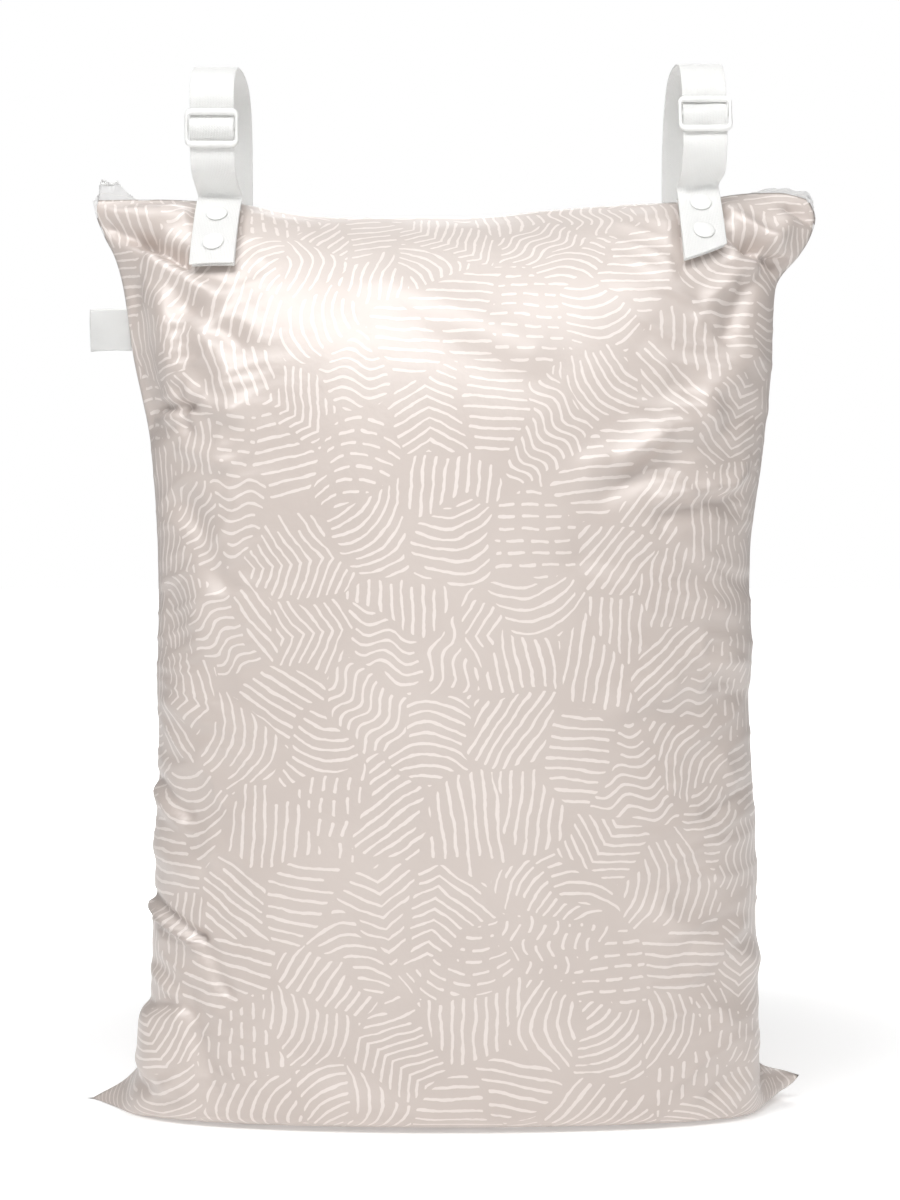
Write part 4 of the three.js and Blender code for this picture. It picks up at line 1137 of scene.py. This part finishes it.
def snaps(side, strap, material):
    cap = SNAP_CAP_RADIUS
    for level, from_end in SNAP_FROM_END.items():
        place = snap_frame(strap, from_end)
        dome = [(0, CAP_BASE + 1.3 * MM)]
        for k in range(1, 11):
            angle = math.radians(9 * k)
            dome.append(((cap - 0.5 * MM) * math.sin(angle) ** 0.9 + 0.5 * MM * math.sin(angle),
                         CAP_BASE + 0.25 * MM + 1.05 * MM * math.cos(angle)))
        shell = [*dome, (cap, CAP_BASE + 0.1 * MM), (cap - 0.2 * MM, CAP_BASE), (2 * MM, CAP_BASE),
                 (2 * MM, STRAP_BASE), (0, STRAP_BASE)]
        top = turned(f"snap_dome_{side}_{level}", shell, place)
        dress(top, material, "plastic", f"snap_cap_{side}_{level}")
        low, high = SOCKET_BASE, SOCKET_BASE + SOCKET_RISE
        ring = [(3.1, low), (5.1, low), (5.4, low + 0.3 * MM), (5.4, high - 0.3 * MM), (5.1, high), (3.1, high),
                (3.1, low)]
        socket = turned(f"snap_ring_{side}_{level}", [(r * MM, h) for r, h in ring], place)
        dress(socket, material, "plastic", f"snap_socket_{side}_{level}")
        disc = STUD_BASE + 0.8 * MM
        post = [(0, STUD_BASE), (5.4, STUD_BASE), (5.7, STUD_BASE + 0.25 * MM), (5.7, disc - 0.2 * MM),
                (5.5, disc), (2, disc), (2, low), (2.7, low + 0.3 * MM), (2.8, low + 0.6 * MM),
                (2.6, high - 0.5 * MM), (0, high - 0.3 * MM)]
        stud = turned(f"snap_post_{side}_{level}", [(r * MM, h) for r, h in post], place)
        dress(stud, material, "plastic", f"snap_stud_{side}_{level}")


def rounded_ring(bm, half_width, half_height, corner, z, segments=64):
    """A loop of vertices on a rounded rectangle."""
    made = bmesh.ops.create_circle(bm, cap_ends=False, radius=1, segments=segments)["verts"]
    for k, vert in enumerate(made):
        side = k // (segments // 4)
        part = k % (segments // 4) / (segments // 4 - 1)
        angle = math.pi / 2 * (side + part)
        centre = (
            (half_width - corner) * (1 if side in (0, 3) else -1),
            (half_height - corner) * (1 if side in (0, 1) else -1),
        )
        vert.co = (centre[0] + corner * math.cos(angle), centre[1] + corner * math.sin(angle), z)
    return made


def strap_glide(side, strap, material):
    """A strap slider: a ring of oval section round a rounded rectangle, and a centre bar."""
    line, middle, down, behind = strap_loop(strap)
    bm = bmesh.new()
    bars = []
    for k in range(16):
        angle = math.tau * k / 16
        inward = (1 - math.cos(angle)) / 2
        z = math.sin(angle) * GLIDE_THICKNESS / 2
        half_width = GLIDE_WIDTH / 2 - inward * GLIDE_SIDE_BAR
        half_height = GLIDE_HEIGHT / 2 - inward * GLIDE_BAR
        corner = 4.5 * MM - inward * 3.2 * MM
        bars.append(rounded_ring(bm, half_width, half_height, corner, z))
    bm.edges.ensure_lookup_table()
    loops = [[e for e in bm.edges if e.verts[0] in set(ring) and e.verts[1] in set(ring)] for ring in bars]
    for k in range(16):
        bmesh.ops.bridge_loops(bm, edges=loops[k] + loops[(k + 1) % 16])
    centre = Matrix.Rotation(math.radians(90), 4, "Y")
    bar = Matrix.Translation((0, 0, -0.1 * MM)) @ Matrix.Diagonal((1, GLIDE_CENTRE_BAR / 2, 0.8 * MM, 1)) @ centre
    bmesh.ops.create_cone(bm, cap_ends=True, segments=24, radius1=1, radius2=1,
                          depth=GLIDE_WIDTH - GLIDE_SIDE_BAR, matrix=bar)
    bmesh.ops.recalc_face_normals(bm, faces=bm.faces)
    out = -behind
    turn = Matrix((Vector((1, 0, 0)), -down, out)).transposed().to_4x4()
    bmesh.ops.transform(bm, matrix=Matrix.Translation(line[middle]) @ turn, verts=bm.verts)
    glide = new_piece(f"glide_{side}", bm)
    dress(glide, material, "plastic", f"strap_slider_{side}")


def seam_label(material):
    """A folded tape sewn into the left side seam, its fold outwards."""
    low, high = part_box("side_label")
    low += Vector((1.4 * MM, 0, 2.0 * MM))
    high -= Vector((0, 0, 1.5 * MM))
    middle = (low + high) / 2
    sizes = high - low

    def place(across, up):
        turn = math.tau * (across - 0.5)
        reach = (1 - math.cos(turn)) / 2
        out = 1 - reach
        x = high.x - sizes.x * out
        gap = 0.45 * MM * math.sin(turn)
        curl = 2.2 * MM * out * out
        droop = 1.2 * MM * out * (1 - up)
        y = middle.y - gap - curl * math.sin(math.pi * (up - 0.2))
        return Vector((x, y, low.z + sizes.z * up - droop * 0.4 + 0.5 * MM * math.sin(3 * out)))

    label = new_piece("label_tape", sheet_grid(60, 24, place, (2 * sizes.x, sizes.z)))
    thicken(label, 0.35 * MM, 0)
    settle(label)
    dress(label, material, "label", "side_label")


def rounded_node(name, node_name, material, slot, edge=0.35 * MM):
    """A moulded part: the node's own shape with its edges rounded."""
    bm = bmesh.new()
    bm.from_mesh(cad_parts[node_name].data)
    bmesh.ops.remove_doubles(bm, verts=bm.verts, dist=1e-6)
    bmesh.ops.dissolve_limit(bm, angle_limit=math.radians(3), verts=bm.verts, edges=bm.edges)
    piece = new_piece(name, bm)
    rim = piece.modifiers.new("rim", "BEVEL")
    rim.width = edge
    rim.segments = 3
    rim.limit_method = "ANGLE"
    rim.angle_limit = math.radians(30)
    settle(piece)
    dress(piece, material, slot, node_name)


# The studio


FLOOR_GLOW = 0.30
FLOOR_GLOW_SEEN = (0.24, 1.0)
FLOOR_GLOW_FROM = (260.0, 800.0)


def studio():
    camera = bpy.data.cameras.new("camera")
    camera.lens = 71.4
    eye = bpy.data.objects.new("camera", camera)
    eye.location = (SHIFT.x, SHIFT.y - 1.4, 0.35)
    eye.rotation_euler = (math.radians(90 - 2.21), 0, 0)
    bpy.context.scene.collection.objects.link(eye)
    bpy.context.scene.camera = eye
    bpy.context.scene.view_settings.view_transform = "Standard"

    lights = [
        ("key", (-0.2, -1.35, 2.2), (2.4, 0.9), 36),
        ("top_left", (-1.0, -1.4, 1.9), (0.8, 0.6), 8),
        ("top_right", (1.1, -1.3, 1.9), (0.8, 0.6), 5),
        ("front_sheen", (-0.6, -2.0, 2.0), (2.6, 1.6), 28),
        ("top_sheen", (-0.4, -0.2, 2.5), (2.6, 2.0), 42),
        ("front", (0.0, -2.4, 0.25), (1.0, 0.5), 6),
        ("left_fill", (-1.9, -0.5, 0.9), (0.8, 1.4), 0.8),
        ("right_fill", (1.9, -0.5, 0.9), (0.8, 1.4), 0.5),
        ("back", (0.3, 2.2, 1.6), (1.6, 1.2), 30),
    ]
    for name, place, size, power in lights:
        lamp = bpy.data.lights.new(name, "AREA")
        lamp.shape = "RECTANGLE"
        lamp.size, lamp.size_y = size
        lamp.energy = power
        holder = bpy.data.objects.new(name, lamp)
        holder.location = place
        holder.rotation_euler = (Vector((0, 0, 0.3)) - Vector(place)).to_track_quat("-Z", "Y").to_euler()
        holder.visible_diffuse = not name.endswith("sheen")
        bpy.context.scene.collection.objects.link(holder)

    world = bpy.data.worlds.new("studio")
    world.use_nodes = True
    tree = world.node_tree
    background = tree.nodes["Background"]
    background.inputs["Color"].default_value = (1, 1, 1, 1)
    ray = tree.nodes.new("ShaderNodeLightPath")
    strength = tree.nodes.new("ShaderNodeMapRange")
    strength.inputs["To Min"].default_value = 0.17
    strength.inputs["To Max"].default_value = 1.0
    tree.links.new(ray.outputs["Is Camera Ray"], strength.inputs["Value"])
    tree.links.new(strength.outputs[0], background.inputs["Strength"])
    bpy.context.scene.world = world

    bm = bmesh.new()
    bmesh.ops.create_circle(bm, cap_ends=True, radius=9, segments=96)
    floor = new_piece("floor", bm)
    paper = Graph("floor_paper")
    grain = paper.noise(paper.body(), 4.0, 2.0)
    paper.feed(paper.shader.inputs["Base Color"], paper.mix(grain, (0.86, 0.86, 0.86, 1), (0.88, 0.88, 0.88, 1)))
    paper.shader.inputs["Roughness"].default_value = 0.9
    paper.shader.inputs["Emission Color"].default_value = (1, 1, 1, 1)
    seen = paper.add("LightPath", "Is Camera Ray")
    away = paper.add("VectorMath", "Value", {"operation": "LENGTH"})
    paper.tree.links.new(paper.body(), away.node.inputs[0])
    seen_glow = paper.ramp(away, *FLOOR_GLOW_FROM, *FLOOR_GLOW_SEEN)
    glow = paper.ramp(seen, 0, 1, FLOOR_GLOW, seen_glow, smooth=False)
    paper.feed(paper.shader.inputs["Emission Strength"], glow)
    floor.data.materials.append(paper.material)


def main():
    studio()
    cloth = printed_cloth()
    strap_webbing = webbing("strap_webbing", (0.83, 0.83, 0.815, 1), 0.9, 1.4, 0.09)
    tape = webbing("zip_tape_weave", (0.78, 0.775, 0.77, 1), 0.7, 0.9, 0.10)
    label = webbing("label_weave", (0.79, 0.795, 0.78, 1), 0.4, 0.35, 0.03, 0.6)
    plastic = moulded_plastic("white_plastic", (0.81, 0.81, 0.795, 1), 0.32)
    cap_plastic = moulded_plastic("cap_plastic", (0.81, 0.81, 0.795, 1), 0.5)
    thread = sewing_thread()
    bag_panels(cloth)
    zip_tape("front", 0, tape)
    zip_tape("back", BACK_TAPE_START, tape)
    zip_coil(plastic)
    zip_stitches(thread)
    for side, strap in STRAPS.items():
        strap_band(side, strap, strap_webbing)
        box_stitches(side, strap, thread)
        snap_tab(side, strap, strap_webbing)
        snaps(side, strap, cap_plastic)
        strap_glide(side, strap, plastic)
    rounded_node("zip_slider_body", "zip_slider", plastic, "plastic")
    rounded_node("zip_pull_tab", "zip_pull", plastic, "plastic")
    seam_label(label)


main()
